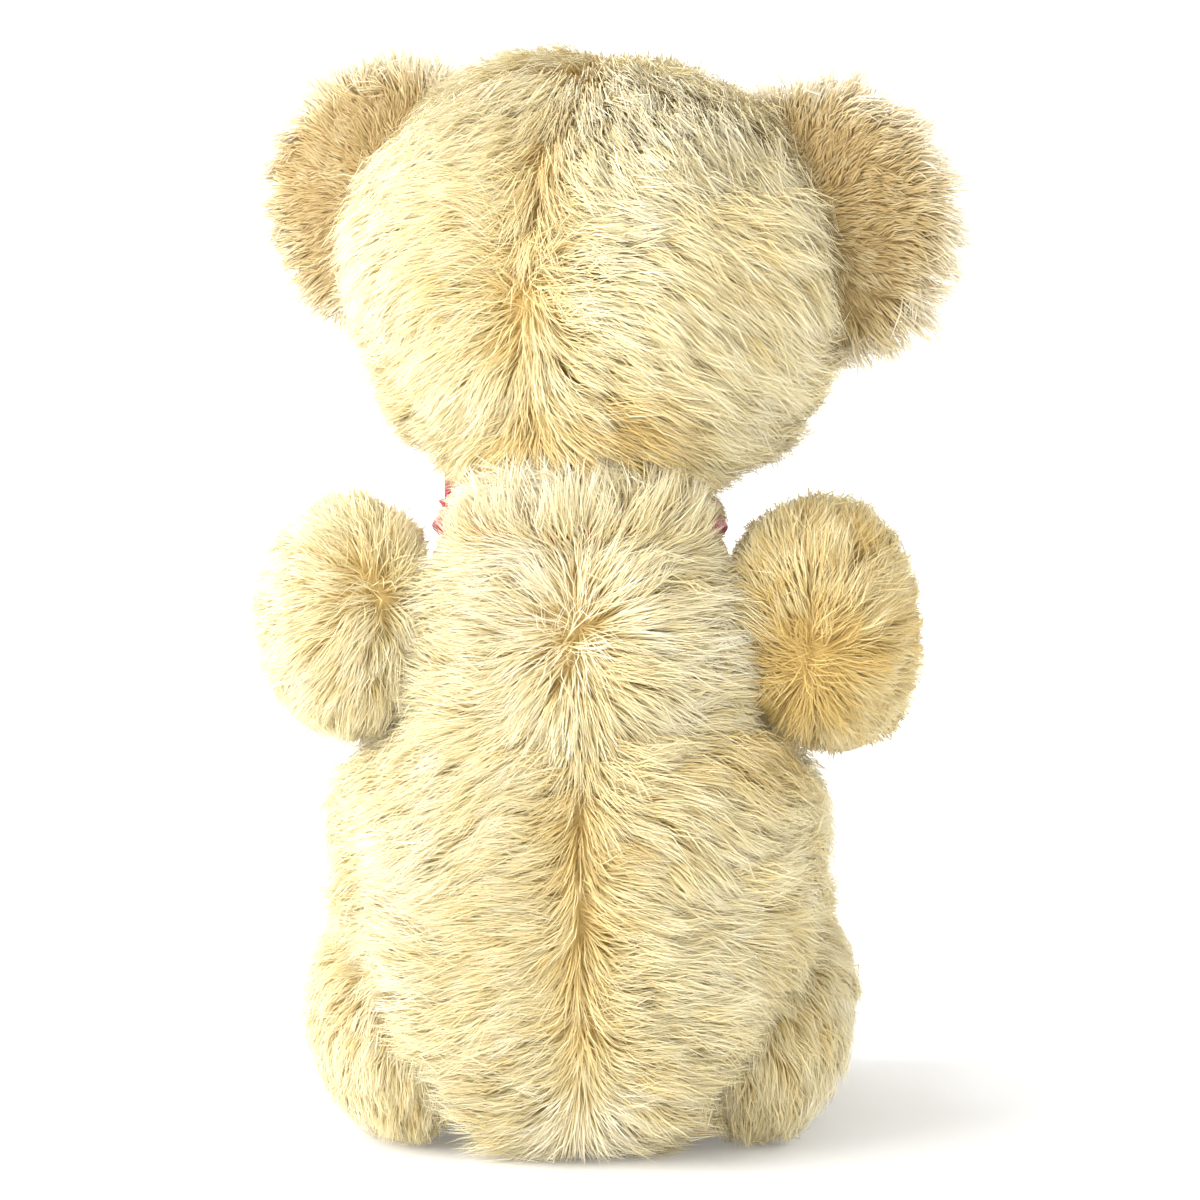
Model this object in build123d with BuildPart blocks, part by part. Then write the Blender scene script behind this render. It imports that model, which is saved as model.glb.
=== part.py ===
"""A disc-jointed plush teddy bear, seated: covers, stuffing, joint hardware, face and neck ribbon.

Millimetres, +Z up. The bear faces -Y and its left side is +X. The origin is the middle of the
flat seat under the torso. Covers are modelled to the mean surface of their pile.
"""

from build123d import *
from math import cos, pi, radians, sin
import os

os.makedirs("parts", exist_ok=True)

# Plush, felt and card
cover_thickness = 5.0  # woven backing with the pile that stands on it
pressed_pile = 2.0  # the same cloth where a joint clamps it flat
stuffing_gap = 0.2  # between pieces that lie on each other along a curved face
body_gap = 0.3  # between the covers of two jointed bodies
turning_gap = 0.8  # round a limb, so that its cover turns clear of the torso
felt_thickness = 1.2
felt_set_back = 2.5  # how far the pile stands above a felt pad
card_thickness = 1.5
thread_height = 0.6  # how far an embroidery thread stands above the pile
thread_width = 1.2
thread_gap = 0.05

# Joint hardware: a hardboard disc and a steel washer each side, on one split cotter pin
disc_thickness = 2.4
washer_radius = 7.0
washer_thickness = 1.0
pin_radius = 1.4
pin_clearance = 0.08
pin_hole_clearance = 0.4  # in the cloth, which the pin pierces
pin_float = 0.1  # between a washer and the pin's eye or curls
pin_split = 0.3
pin_curl_radius = 3.0
pin_eye_radius = 2.2
pin_eye_wire = 0.8
disc_edge_gap = 0.3
neck_disc_radius = 14.0
shoulder_disc_radius = 10.0
hip_disc_radius = 12.0

# Torso: half widths and half depths of its round sections, from the belly to the neck
belly_height = 50.0
belly_half_width = 43.5
belly_half_depth = 37.5
seat_cut = 3.0  # how far the egg's tip would reach below the flat seat
belly_drop = belly_height + seat_cut
flank_rise = 14.0  # each rise is from the section below
flank_height = belly_height + flank_rise
flank_half_width = 42.5
flank_half_depth = 36.5
waist_rise = 13.0
waist_height = flank_height + waist_rise
waist_half_width = 36.5
waist_half_depth = 33.0
chest_rise = 13.0
chest_height = waist_height + chest_rise
chest_half_width = 31.5
chest_half_depth = 30.0
shoulder_section_rise = 12.0
shoulder_section_height = chest_height + shoulder_section_rise
shoulder_half_width = 29.5
shoulder_half_depth = 27.5
collar_rise = 11.0
collar_height = shoulder_section_height + collar_rise
collar_half_width = 25.5
collar_half_depth = 22.5
neck_rise = 8.0
neck_height = collar_height + neck_rise  # the flat top of the torso, where the head turns
neck_dome = 12.0

# Arms: sections run forward from the shoulder pivot
shoulder_half_span = 27.5
shoulder_pivot_drop = 5.0  # below the shoulders' widest section
shoulder_height = shoulder_section_height - shoulder_pivot_drop
shoulder_back = 1.0
arm_middle_offset = 13.3  # from the joint face out to the arm's middle
upper_arm_half_width = 16.2
upper_arm_half_height = 20.0
elbow_reach = 24.0
elbow_half_width = 15.5
elbow_half_height = 18.0
wrist_reach = 44.0
wrist_half_width = 13.5
wrist_half_height = 14.5
paw_reach = 54.0
paw_half_width = 13.0
paw_half_height = 14.0
paw_droop = 2.5
paw_dome = 14.0
paw_pad_length = 24.0
paw_pad_width = 17.0
left_arm_pitch = 9.0  # below level
right_arm_pitch = 18.0
left_arm_splay = 2.0
right_arm_splay = 7.0
arm_lowest_pitch = 32.0
arm_highest_pitch = -34.0

# Legs: sections run forward from the hip pivot to the flat sole
hip_half_span = 20.5
hip_drop = 25.0  # below the belly's widest section
hip_height = belly_height - hip_drop
hip_back = -6.0
leg_middle_offset = 13.3
thigh_half_width = 16.2
thigh_half_height = 22.3
knee_reach = 26.0
knee_half_width = 15.5
knee_half_height = 20.0
knee_sag = 1.5
ankle_reach = 48.0
ankle_half_width = 14.0
ankle_half_height = 16.5
ankle_sag = 4.8
instep_reach = 62.0
instep_half_width = 15.0
instep_half_height = 19.5
instep_sag = 2.0
foot_half_width = 16.0
foot_half_height = 24.0
foot_rise = 2.0
sole_start = 74.0
leg_length = 84.0
sole_margin = 3.0  # the ring of plush round the sole felt
hip_lean = 10.0
leg_standing_pitch = 95.0

# Head: sections run forward from the middle of the skull
skull_height = 36.2  # above the neck joint
skull_forward = 8.0
skull_half_width = 44.0
skull_half_height = 39.5
skull_back = 37.0
brow_reach = 18.0
brow_half_width = 39.5
brow_half_height = 34.0
cheek_reach = 29.0
cheek_half_width = 29.0
cheek_half_height = 25.0
cheek_drop = 4.5
muzzle_root_reach = 38.0
muzzle_root_half_width = 19.5
muzzle_root_half_height = 16.5
muzzle_drop = 10.0
muzzle_reach = 49.0
muzzle_half_width = 16.0
muzzle_half_height = 13.5
muzzle_dome = 10.0
head_turn = -20.0
head_tilt = 3.0
gusset_half_width = 13.0
gusset_nose_half_width = 6.0
gusset_back = 22.0  # how far the gusset's point runs behind the skull's middle

# Ears: cupped discs, sunk into the skull by their base
ear_radius = 22.0
ear_out = 41.0
ear_up = 12.5
ear_forward = -4.0
ear_panel_thickness = 3.0
ear_cup_radius = 40.0

# Face
eye_radius = 4.2
eye_half_spacing = 14.0
eye_up = 6.0
eye_sink = 1.4
eye_shank_length = 9.0
eye_shank_radius = 0.8
eye_gap = 0.15
nose_half_width = 7.5
nose_height = 8.0
nose_up = 6.5  # the nose's top edge above the muzzle's middle
nose_thickness = 1.4
nose_corner_radius = 1.5
mouth_length = 5.0
smile_radius = 4.5

# Neck ribbon: a gathered band with a bow in front
ribbon_drop = 2.0  # from the collar's section to the band's lower edge
ribbon_bottom = collar_height - ribbon_drop
ribbon_height = 6.5
ribbon_half_width = 27.2
ribbon_half_depth = 25.5
ribbon_band_thickness = 4.0
bow_knot_width = 8.0
bow_knot_height = 9.0
bow_knot_depth = 7.0
bow_loop_length = 21.0
bow_loop_shoulder = 16.0
bow_loop_height = 13.0
bow_loop_depth = 5.0
bow_tail_length = 26.0
bow_tail_width = 10.0
bow_tail_thickness = 1.6
bow_tail_spread = 24.0

outline_points = 8
dome_angles = (30, 56, 78)
claw_count = 4
claw_spacing = 4.4
claw_length = 11.0
hollow_depth = 60.0  # from a joint face outwards, past the torso's flank
reach_past_part = 200.0  # long enough for a cutter to pass right through any piece


def oval(half_width, half_height, drift):
    """Points of an oval whose middle is drift above the sketch's origin."""
    turns = [2 * pi * step / outline_points for step in range(outline_points)]
    return [(half_width * cos(turn), drift + half_height * sin(turn)) for turn in turns]


def dome(middle, reach, half_width, half_height, drift, inset):
    """Sections that close a form in a dome, from its middle out to middle + reach."""
    length = (abs(reach) - inset) * (1 if reach > 0 else -1)
    angles = [radians(angle) for angle in dome_angles]
    return [
        (
            middle + length * sin(angle),
            (half_width - inset) * cos(angle),
            (half_height - inset) * cos(angle),
            drift,
        )
        for angle in angles
    ]


def sections(stations, inset, start_dome=0.0, end_dome=0.0):
    """Insets each (place, half width, half height, drift) and domes the ends that ask for it."""
    rings = [(place, wide - inset, high - inset, drift) for place, wide, high, drift in stations]
    if start_dome:
        place, wide, high, drift = stations[0]
        rings = dome(place, -start_dome, wide, high, drift, inset)[::-1] + rings
    if end_dome:
        place, wide, high, drift = stations[-1]
        rings = rings + dome(place, end_dome, wide, high, drift, inset)
    return rings


def soft_form(base, rings):
    """Smooth loft through oval rings that stand along the base plane's normal."""
    with BuildPart() as form:
        for place, half_width, half_height, drift in rings:
            with BuildSketch(base.offset(place)):
                with BuildLine():
                    Spline(*oval(half_width, half_height, drift), periodic=True)
                make_face()
        loft()
    return form.part


def cylinder_along(base, radius, start, end):
    """A cylinder on the base plane's normal, from start to end."""
    with BuildPart() as bar:
        with BuildSketch(base.offset(start)):
            Circle(radius)
        extrude(amount=end - start)
    return bar.part


def finish(piece, name):
    """Labels a finished piece and writes it."""
    piece.part.label = name
    export_step(piece.part, f"parts/{name}.step")


# ---------------------------------------------------------------------------------------------
# Where the bodies meet. Each seat plane lies on the torso's joint face: its X points out of the
# torso along the joint's axis, its Y points back and its Z up. On a right side it points inwards
# instead, because a right limb is the left one mirrored.


def seat_plane(side, half_span, back, height, lean, splay):
    """The joint frame of a limb on the left (side 1) or the right (side -1)."""
    return Plane(origin=(side * half_span, back, height)).rotated((0, side * lean, side * splay))


sides = {"left": 1, "right": -1}
arm_pitches = {"left": left_arm_pitch, "right": right_arm_pitch}
arm_splays = {"left": left_arm_splay, "right": right_arm_splay}
shoulder_seats = {
    name: seat_plane(side, shoulder_half_span, shoulder_back, shoulder_height, 0, arm_splays[name])
    for name, side in sides.items()
}
hip_seats = {
    name: seat_plane(side, hip_half_span, hip_back, hip_height, hip_lean, 0)
    for name, side in sides.items()
}
neck_seat = Plane(origin=(0, 0, neck_height))
joint_axis_plane = Plane.YZ  # its normal is a limb frame's X
neck_axis_plane = Plane.XY


def turned(plane, angles):
    """The plane turned about its own axes."""
    return Plane(plane.location * Location((0, 0, 0), angles))


def mirrored(piece):
    """A left-hand piece turned into its right-hand twin."""
    return mirror(piece, about=Plane.YZ)


def placed(piece, plane):
    """A piece made in its own frame, carried to the plane where it belongs."""
    with BuildPart(plane) as moved:
        add(piece)
    return moved


# ---------------------------------------------------------------------------------------------
# Joint hardware, made once for each disc size in a frame whose origin is the torso's joint face


torso_washer_end = -(pressed_pile + disc_thickness + washer_thickness)
limb_disc_start = body_gap + pressed_pile
limb_washer_end = limb_disc_start + disc_thickness + washer_thickness
pin_bore_radius = pin_radius + pin_clearance
pin_curl_depth = pin_curl_radius + pin_float
hardware_start = torso_washer_end - pin_curl_depth - pin_eye_wire
hardware_end = limb_washer_end + 2 * (pin_eye_radius + pin_eye_wire) + pin_float + stuffing_gap


def joint_ring(axis_plane, radius, start, end):
    """A disc or washer with the pin's bore through it."""
    with BuildPart() as ring:
        with BuildSketch(axis_plane.offset(start)):
            Circle(radius)
            Circle(pin_bore_radius, mode=Mode.SUBTRACT)
        extrude(amount=end - start)
    return ring.part


def cotter_pin(axis_plane):
    """A split pin: an eye outside the limb's washer and two curls behind the torso's."""
    curl_start = torso_washer_end - pin_float
    across = Plane(origin=(0, 0, 0), x_dir=axis_plane.z_dir, z_dir=axis_plane.x_dir)
    leg_plane = axis_plane.offset(curl_start)
    with BuildPart() as pin:
        with BuildSketch(leg_plane):
            Circle(pin_radius)
        extrude(amount=limb_washer_end + pin_float + pin_eye_wire - curl_start)
        with BuildSketch(across):
            with Locations((curl_start, 0)):
                Rectangle(2 * limb_washer_end - 2 * curl_start, pin_split)
        extrude(amount=pin_radius, both=True, mode=Mode.SUBTRACT)
        for turn in (1, -1):
            with BuildSketch(leg_plane):
                with Locations((0, turn * (pin_split + pin_radius) / 2)):
                    Rectangle(2 * pin_radius, pin_radius)
                Circle(pin_radius, mode=Mode.INTERSECT)
            bend = leg_plane.origin + leg_plane.y_dir * turn * pin_curl_radius
            revolve(axis=Axis(bend, leg_plane.x_dir), revolution_arc=turn * 180)
        eye_middle = limb_washer_end + pin_float + pin_eye_radius + pin_eye_wire
        with BuildSketch(across):
            with Locations((eye_middle + pin_eye_radius, 0)):
                Circle(pin_eye_wire)
        eye_axis = Axis(axis_plane.offset(eye_middle).origin, axis_plane.y_dir)
        revolve(axis=eye_axis)
    return pin.part


def hardware(axis_plane, disc_radius):
    """Every hard piece of one joint, by name."""
    torso_disc_end = -(pressed_pile + disc_thickness)
    limb_disc_end = limb_disc_start + disc_thickness
    return {
        "torso_disc": joint_ring(axis_plane, disc_radius, torso_disc_end, -pressed_pile),
        "torso_washer": joint_ring(axis_plane, washer_radius, torso_washer_end, torso_disc_end),
        "limb_disc": joint_ring(axis_plane, disc_radius, limb_disc_start, limb_disc_end),
        "limb_washer": joint_ring(axis_plane, washer_radius, limb_disc_end, limb_washer_end),
        "cotter_pin": cotter_pin(axis_plane),
    }


def hardware_room(axis_plane, disc_radius, torso_side):
    """What one joint takes out of the covers and stuffing of the torso, or of the limb."""
    disc_room = disc_radius + disc_edge_gap
    hole = pin_radius + pin_hole_clearance
    if torso_side:
        disc = cylinder_along(axis_plane, disc_room, hardware_start, -pressed_pile)
    else:
        disc = cylinder_along(axis_plane, disc_room, limb_disc_start, hardware_end)
    with BuildPart() as room:
        add(disc)
        add(cylinder_along(axis_plane, hole, -disc_room, disc_room))
    return room.part


# ---------------------------------------------------------------------------------------------
# Torso


def limb_hollow(side, seat, radius, reach, end_radius, pitches, face):
    """The hollow in the torso's flank where a tapering limb turns between two pitches."""
    with BuildPart() as hollow:
        with BuildSketch(joint_axis_plane.offset(side * face)):
            Circle(radius)
            for pitch in pitches:
                angle = radians(pitch)
                with Locations((-reach * cos(angle), -reach * sin(angle))):
                    Circle(end_radius)
            make_hull()
        extrude(amount=side * hollow_depth)
    return placed(hollow.part, seat).part


arm_swing = (arm_lowest_pitch, arm_highest_pitch)
leg_swing = (0, leg_standing_pitch)
torso_stations = (
    (belly_height, belly_half_width, belly_half_depth, 0),
    (flank_height, flank_half_width, flank_half_depth, 0),
    (waist_height, waist_half_width, waist_half_depth, 0),
    (chest_height, chest_half_width, chest_half_depth, 0),
    (shoulder_section_height, shoulder_half_width, shoulder_half_depth, 0),
    (collar_height, collar_half_width, collar_half_depth, 0),
)


def torso_form(inset, pressed):
    """The torso's outside, or the space inside it at a given depth, with its flats and hollows."""
    form = soft_form(Plane.XY, sections(torso_stations, inset, belly_drop, neck_dome))
    room = turning_gap + max(inset, 0)
    arm_room = upper_arm_half_height + room
    paw_room = paw_half_height + paw_droop + room
    leg_room = thigh_half_height + room
    with BuildPart() as torso:
        add(form)
        split(bisect_by=Plane.XY.offset(inset), keep=Keep.TOP)
        split(bisect_by=neck_seat.offset(-pressed), keep=Keep.BOTTOM)
        for name, side in sides.items():
            shoulder, hip = shoulder_seats[name], hip_seats[name]
            arm_sweep = (arm_room, paw_reach, paw_room, arm_swing, -pressed)
            leg_sweep = (leg_room, sole_start, leg_room, leg_swing, -pressed)
            add(limb_hollow(side, shoulder, *arm_sweep), mode=Mode.SUBTRACT)
            add(limb_hollow(side, hip, *leg_sweep), mode=Mode.SUBTRACT)
    return torso.part


def torso_hardware_rooms():
    """All the room that the five joints take inside the torso."""
    shoulder = hardware_room(joint_axis_plane, shoulder_disc_radius, True)
    hip = hardware_room(joint_axis_plane, hip_disc_radius, True)
    rooms = [placed(hardware_room(neck_axis_plane, neck_disc_radius, True), neck_seat).part]
    for name, side in sides.items():
        for room, seat in ((shoulder, shoulder_seats[name]), (hip, hip_seats[name])):
            rooms.append(placed(room if side > 0 else mirrored(room), seat).part)
    return rooms


torso_rooms = torso_hardware_rooms()
with BuildPart() as torso_cover:
    add(torso_form(0, 0))
    add(torso_form(cover_thickness, pressed_pile), mode=Mode.SUBTRACT)
    for room in torso_rooms:
        add(room, mode=Mode.SUBTRACT)

for name, kept in (("left", Keep.TOP), ("right", Keep.BOTTOM)):
    with BuildPart() as half:
        add(torso_cover.part)
        split(bisect_by=Plane.YZ, keep=kept)
    finish(half, f"torso_{name}_cover")

with BuildPart() as torso_stuffing:
    add(torso_form(cover_thickness + stuffing_gap, pressed_pile + stuffing_gap))
    for room in torso_rooms:
        add(room, mode=Mode.SUBTRACT)
finish(torso_stuffing, "torso_stuffing")

# ---------------------------------------------------------------------------------------------
# Arms, made once as a left arm that points straight forward from its shoulder seat


arm_base = Plane.XZ.move(Location((arm_middle_offset, 0, 0)))
arm_stations = (
    (0, upper_arm_half_width, upper_arm_half_height, 0),
    (elbow_reach, elbow_half_width, elbow_half_height, 0),
    (wrist_reach, wrist_half_width, wrist_half_height, -paw_droop / 2),
    (paw_reach, paw_half_width, paw_half_height, -paw_droop),
)


def limb_form(base, rings, face):
    """A limb's outside, or the space inside it, cut flat where it meets the torso."""
    with BuildPart() as limb:
        add(soft_form(base, rings))
        split(bisect_by=joint_axis_plane.offset(face), keep=Keep.TOP)
    return limb.part


def arm_form(inset, pressed=0.0):
    """The arm's outside, or the space inside it at a given depth."""
    rings = sections(arm_stations, inset, upper_arm_half_height, paw_dome)
    return limb_form(arm_base, rings, body_gap + pressed)


def paw_pad_prism(margin):
    """The pad's outline, reaching down through the underside of the paw."""
    pad_middle = (wrist_reach + paw_reach) / 2
    with BuildPart() as prism:
        with BuildSketch(Plane.XY):
            with Locations((arm_middle_offset, -pad_middle)):
                Ellipse(paw_pad_length / 2 + margin, paw_pad_width / 2 + margin, rotation=90)
        extrude(amount=-reach_past_part)
    return prism.part


def claw_prisms(middle, tip, length):
    """Narrow upright blades across a paw or a foot, one for each embroidered claw."""
    with BuildPart() as blades:
        with BuildSketch(Plane.XY):
            with Locations((middle, -tip + length / 2)):
                with GridLocations(claw_spacing, 0, claw_count, 1):
                    Rectangle(thread_width, length)
        extrude(amount=reach_past_part)
    return blades.part


arm_outside = arm_form(0)
arm_room = hardware_room(joint_axis_plane, shoulder_disc_radius, False)
with BuildPart() as pad_pocket:
    add(paw_pad_prism(stuffing_gap))
    add(arm_form(felt_set_back + felt_thickness + stuffing_gap), mode=Mode.SUBTRACT)
with BuildPart() as arm_cover:
    add(arm_outside)
    add(arm_form(cover_thickness, pressed_pile), mode=Mode.SUBTRACT)
    add(arm_room, mode=Mode.SUBTRACT)
    add(pad_pocket.part, mode=Mode.SUBTRACT)
with BuildPart() as arm_outer_cover:
    add(arm_cover.part)
    split(bisect_by=joint_axis_plane.offset(arm_middle_offset), keep=Keep.TOP)
with BuildPart() as arm_inner_cover:
    add(arm_cover.part)
    split(bisect_by=joint_axis_plane.offset(arm_middle_offset), keep=Keep.BOTTOM)
with BuildPart() as paw_pad:
    add(paw_pad_prism(0))
    add(arm_form(felt_set_back), mode=Mode.INTERSECT)
    add(arm_form(felt_set_back + felt_thickness), mode=Mode.SUBTRACT)
with BuildPart() as arm_stuffing:
    add(arm_form(cover_thickness + stuffing_gap, pressed_pile + stuffing_gap))
    add(arm_room, mode=Mode.SUBTRACT)
with BuildPart() as arm_claws:
    add(claw_prisms(arm_middle_offset, paw_reach + paw_dome, claw_length))
    add(arm_form(-thread_height), mode=Mode.INTERSECT)
    add(arm_form(-thread_gap), mode=Mode.SUBTRACT)

arm_pieces = {
    "outer_cover": arm_outer_cover,
    "inner_cover": arm_inner_cover,
    "stuffing": arm_stuffing,
    "paw_pad": paw_pad,
    "claw_stitches": arm_claws,
}

# ---------------------------------------------------------------------------------------------
# Legs, made once as a left leg that points straight forward from its hip seat


leg_base = Plane.XZ.move(Location((leg_middle_offset, 0, 0)))
leg_stations = (
    (0, thigh_half_width, thigh_half_height, 0),
    (knee_reach, knee_half_width, knee_half_height, -knee_sag),
    (ankle_reach, ankle_half_width, ankle_half_height, -ankle_sag),
    (instep_reach, instep_half_width, instep_half_height, -instep_sag),
    (sole_start, foot_half_width, foot_half_height, foot_rise),
    (leg_length, foot_half_width, foot_half_height, foot_rise),
)
felt_front = leg_length - felt_set_back
card_front = felt_front - felt_thickness
card_back = card_front - card_thickness


def leg_form(inset, pressed=0.0, end=leg_length):
    """The leg's outside, or the space inside it at a given depth, with its flat sole at end."""
    rings = sections(leg_stations[:-1], inset, thigh_half_height)
    rings.append((end, foot_half_width - inset, foot_half_height - inset, foot_rise))
    return limb_form(leg_base, rings, body_gap + pressed)


def sole_plate(front, back, margin):
    """A flat plate of the sole's outline, less a margin all round."""
    with BuildPart() as plate:
        with BuildSketch(leg_base.offset(back)):
            with BuildLine():
                Spline(
                    *oval(foot_half_width - margin, foot_half_height - margin, foot_rise),
                    periodic=True,
                )
            make_face()
        extrude(amount=front - back)
    return plate.part


leg_room = hardware_room(joint_axis_plane, hip_disc_radius, False)
with BuildPart() as leg_cover:
    add(leg_form(0))
    add(leg_form(cover_thickness, pressed_pile, card_back), mode=Mode.SUBTRACT)
    add(leg_room, mode=Mode.SUBTRACT)
    add(sole_plate(reach_past_part, card_back, sole_margin), mode=Mode.SUBTRACT)
with BuildPart() as leg_outer_cover:
    add(leg_cover.part)
    split(bisect_by=joint_axis_plane.offset(leg_middle_offset), keep=Keep.TOP)
with BuildPart() as leg_inner_cover:
    add(leg_cover.part)
    split(bisect_by=joint_axis_plane.offset(leg_middle_offset), keep=Keep.BOTTOM)
with BuildPart() as sole_felt:
    add(sole_plate(felt_front, card_front, sole_margin + stuffing_gap))
with BuildPart() as sole_card:
    add(sole_plate(card_front, card_back, sole_margin + stuffing_gap))
with BuildPart() as leg_stuffing:
    add(leg_form(cover_thickness + stuffing_gap, pressed_pile + stuffing_gap, card_back))
    add(leg_room, mode=Mode.SUBTRACT)
with BuildPart() as toe_stitches:
    add(claw_prisms(leg_middle_offset, leg_length, claw_length))
    add(leg_form(-thread_height), mode=Mode.INTERSECT)
    add(leg_form(-thread_gap), mode=Mode.SUBTRACT)

leg_pieces = {
    "outer_cover": leg_outer_cover,
    "inner_cover": leg_inner_cover,
    "stuffing": leg_stuffing,
    "sole_felt": sole_felt,
    "sole_card": sole_card,
    "toe_stitches": toe_stitches,
}

# ---------------------------------------------------------------------------------------------
# Both pairs of limbs with their joints


shoulder_hardware = hardware(joint_axis_plane, shoulder_disc_radius)
hip_hardware = hardware(joint_axis_plane, hip_disc_radius)
torso_washers = []
for name, side in sides.items():
    limbs = (
        ("arm", arm_pieces, shoulder_seats[name], arm_pitches[name]),
        ("leg", leg_pieces, hip_seats[name], 0),
    )
    for limb, pieces, seat, pitch in limbs:
        limb_plane = turned(seat, (pitch, 0, 0))
        for piece_name, piece in pieces.items():
            solid = piece.part if side > 0 else mirrored(piece.part)
            finish(placed(solid, limb_plane), f"{name}_{limb}_{piece_name}")
    joints = (
        ("shoulder", shoulder_hardware, shoulder_seats[name]),
        ("hip", hip_hardware, hip_seats[name]),
    )
    for joint, pieces, seat in joints:
        for piece_name, solid in pieces.items():
            solid = solid if side > 0 else mirrored(solid)
            if piece_name == "torso_washer":
                torso_washers.append(placed(solid, seat).part)
            else:
                finish(placed(solid, seat), f"{name}_{joint}_{piece_name}")

# ---------------------------------------------------------------------------------------------
# Head, made facing straight forward on its neck joint


head_plane = turned(neck_seat, (0, 0, head_turn))
skull_plane = Plane(
    origin=(0, -skull_forward, skull_height),
    x_dir=(cos(radians(head_tilt)), 0, sin(radians(head_tilt))),
    z_dir=(0, -1, 0),
)
head_stations = (
    (0, skull_half_width, skull_half_height, 0),
    (brow_reach, brow_half_width, brow_half_height, 0),
    (cheek_reach, cheek_half_width, cheek_half_height, -cheek_drop),
    (muzzle_root_reach, muzzle_root_half_width, muzzle_root_half_height, -muzzle_drop),
    (muzzle_reach, muzzle_half_width, muzzle_half_height, -muzzle_drop),
)


def head_form(inset, pressed=0.0):
    """The head's outside, or the space inside it at a given depth, cut flat at the neck."""
    rings = sections(head_stations, inset, skull_back, muzzle_dome)
    with BuildPart() as head:
        add(soft_form(skull_plane, rings))
        split(bisect_by=Plane.XY.offset(body_gap + pressed), keep=Keep.TOP)
    return head.part


def front_of(form, across, up):
    """The skull frame's station where a line through (across, up) leaves the face."""
    start = skull_plane.from_local_coords((across, up, 0))
    hits = form.find_intersection_points(Axis(start, skull_plane.z_dir))
    return max(skull_plane.to_local_coords(point).Z for point, normal in hits)


head_outside = head_form(0)
head_room = hardware_room(neck_axis_plane, neck_disc_radius, False)

def beside_gusset(side):
    """The gusset's edge on one side, from the nose back to its middle, in the skull's top view."""
    nose_edge = muzzle_reach + muzzle_dome + cover_thickness
    return [
        (side * gusset_nose_half_width, -nose_edge),
        (side * gusset_nose_half_width, -muzzle_root_reach),
        (side * gusset_half_width, -brow_reach),
        (side * gusset_half_width, 0),
    ]


skull_top_plane = Plane(
    origin=skull_plane.origin, x_dir=skull_plane.x_dir, z_dir=skull_plane.y_dir
)
with BuildPart() as gusset_prism:
    with BuildSketch(skull_top_plane.offset(-muzzle_drop)):
        with BuildLine():
            Polyline(*beside_gusset(1), (0, gusset_back), *beside_gusset(-1)[::-1], close=True)
        make_face()
    extrude(amount=reach_past_part)

# Eyes: a glass ball half sunk in the face, on a wire shank that runs back into the stuffing
eye_pockets = []
for name, side in sides.items():
    across = side * eye_half_spacing
    station = front_of(head_outside, across, eye_up) - eye_sink
    eye_middle = skull_plane.from_local_coords((across, eye_up, station))
    shank_plane = Plane(origin=eye_middle, x_dir=skull_plane.x_dir, z_dir=-skull_plane.z_dir)
    with BuildPart() as eye:
        add(cylinder_along(shank_plane, eye_shank_radius, 0, eye_shank_length))
        with Locations(shank_plane):
            Sphere(eye_radius)
    with BuildPart() as eye_pocket:
        shank_hole = eye_shank_radius + eye_gap
        add(cylinder_along(shank_plane, shank_hole, 0, eye_shank_length + eye_gap))
        with Locations(shank_plane):
            Sphere(eye_radius + eye_gap)
    eye_pockets.append(eye_pocket.part)
    finish(placed(eye.part, head_plane), f"{name}_glass_eye")

with BuildPart() as head_cover:
    add(head_outside)
    add(head_form(cover_thickness, pressed_pile), mode=Mode.SUBTRACT)
    add(head_room, mode=Mode.SUBTRACT)
    for pocket in eye_pockets:
        add(pocket, mode=Mode.SUBTRACT)

with BuildPart() as head_gusset:
    add(head_cover.part)
    add(gusset_prism.part, mode=Mode.INTERSECT)
finish(placed(head_gusset.part, head_plane), "head_gusset")

for name, kept in (("left", Keep.TOP), ("right", Keep.BOTTOM)):
    with BuildPart() as head_side:
        add(head_cover.part)
        add(gusset_prism.part, mode=Mode.SUBTRACT)
        split(bisect_by=Plane(origin=skull_plane.origin, z_dir=skull_plane.x_dir), keep=kept)
    finish(placed(head_side.part, head_plane), f"head_{name}_side")

with BuildPart() as head_stuffing:
    add(head_form(cover_thickness + stuffing_gap, pressed_pile + stuffing_gap))
    add(head_room, mode=Mode.SUBTRACT)
    for pocket in eye_pockets:
        add(pocket, mode=Mode.SUBTRACT)
finish(placed(head_stuffing.part, head_plane), "head_stuffing")

neck_hardware = hardware(neck_axis_plane, neck_disc_radius)
for piece_name, solid in neck_hardware.items():
    if piece_name == "torso_washer":
        torso_washers.append(placed(solid, neck_seat).part)
    else:
        finish(placed(solid, neck_seat), f"neck_{piece_name}")
with BuildPart() as washer_set:
    for washer in torso_washers:
        add(washer)
finish(washer_set, "torso_washers")

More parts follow.
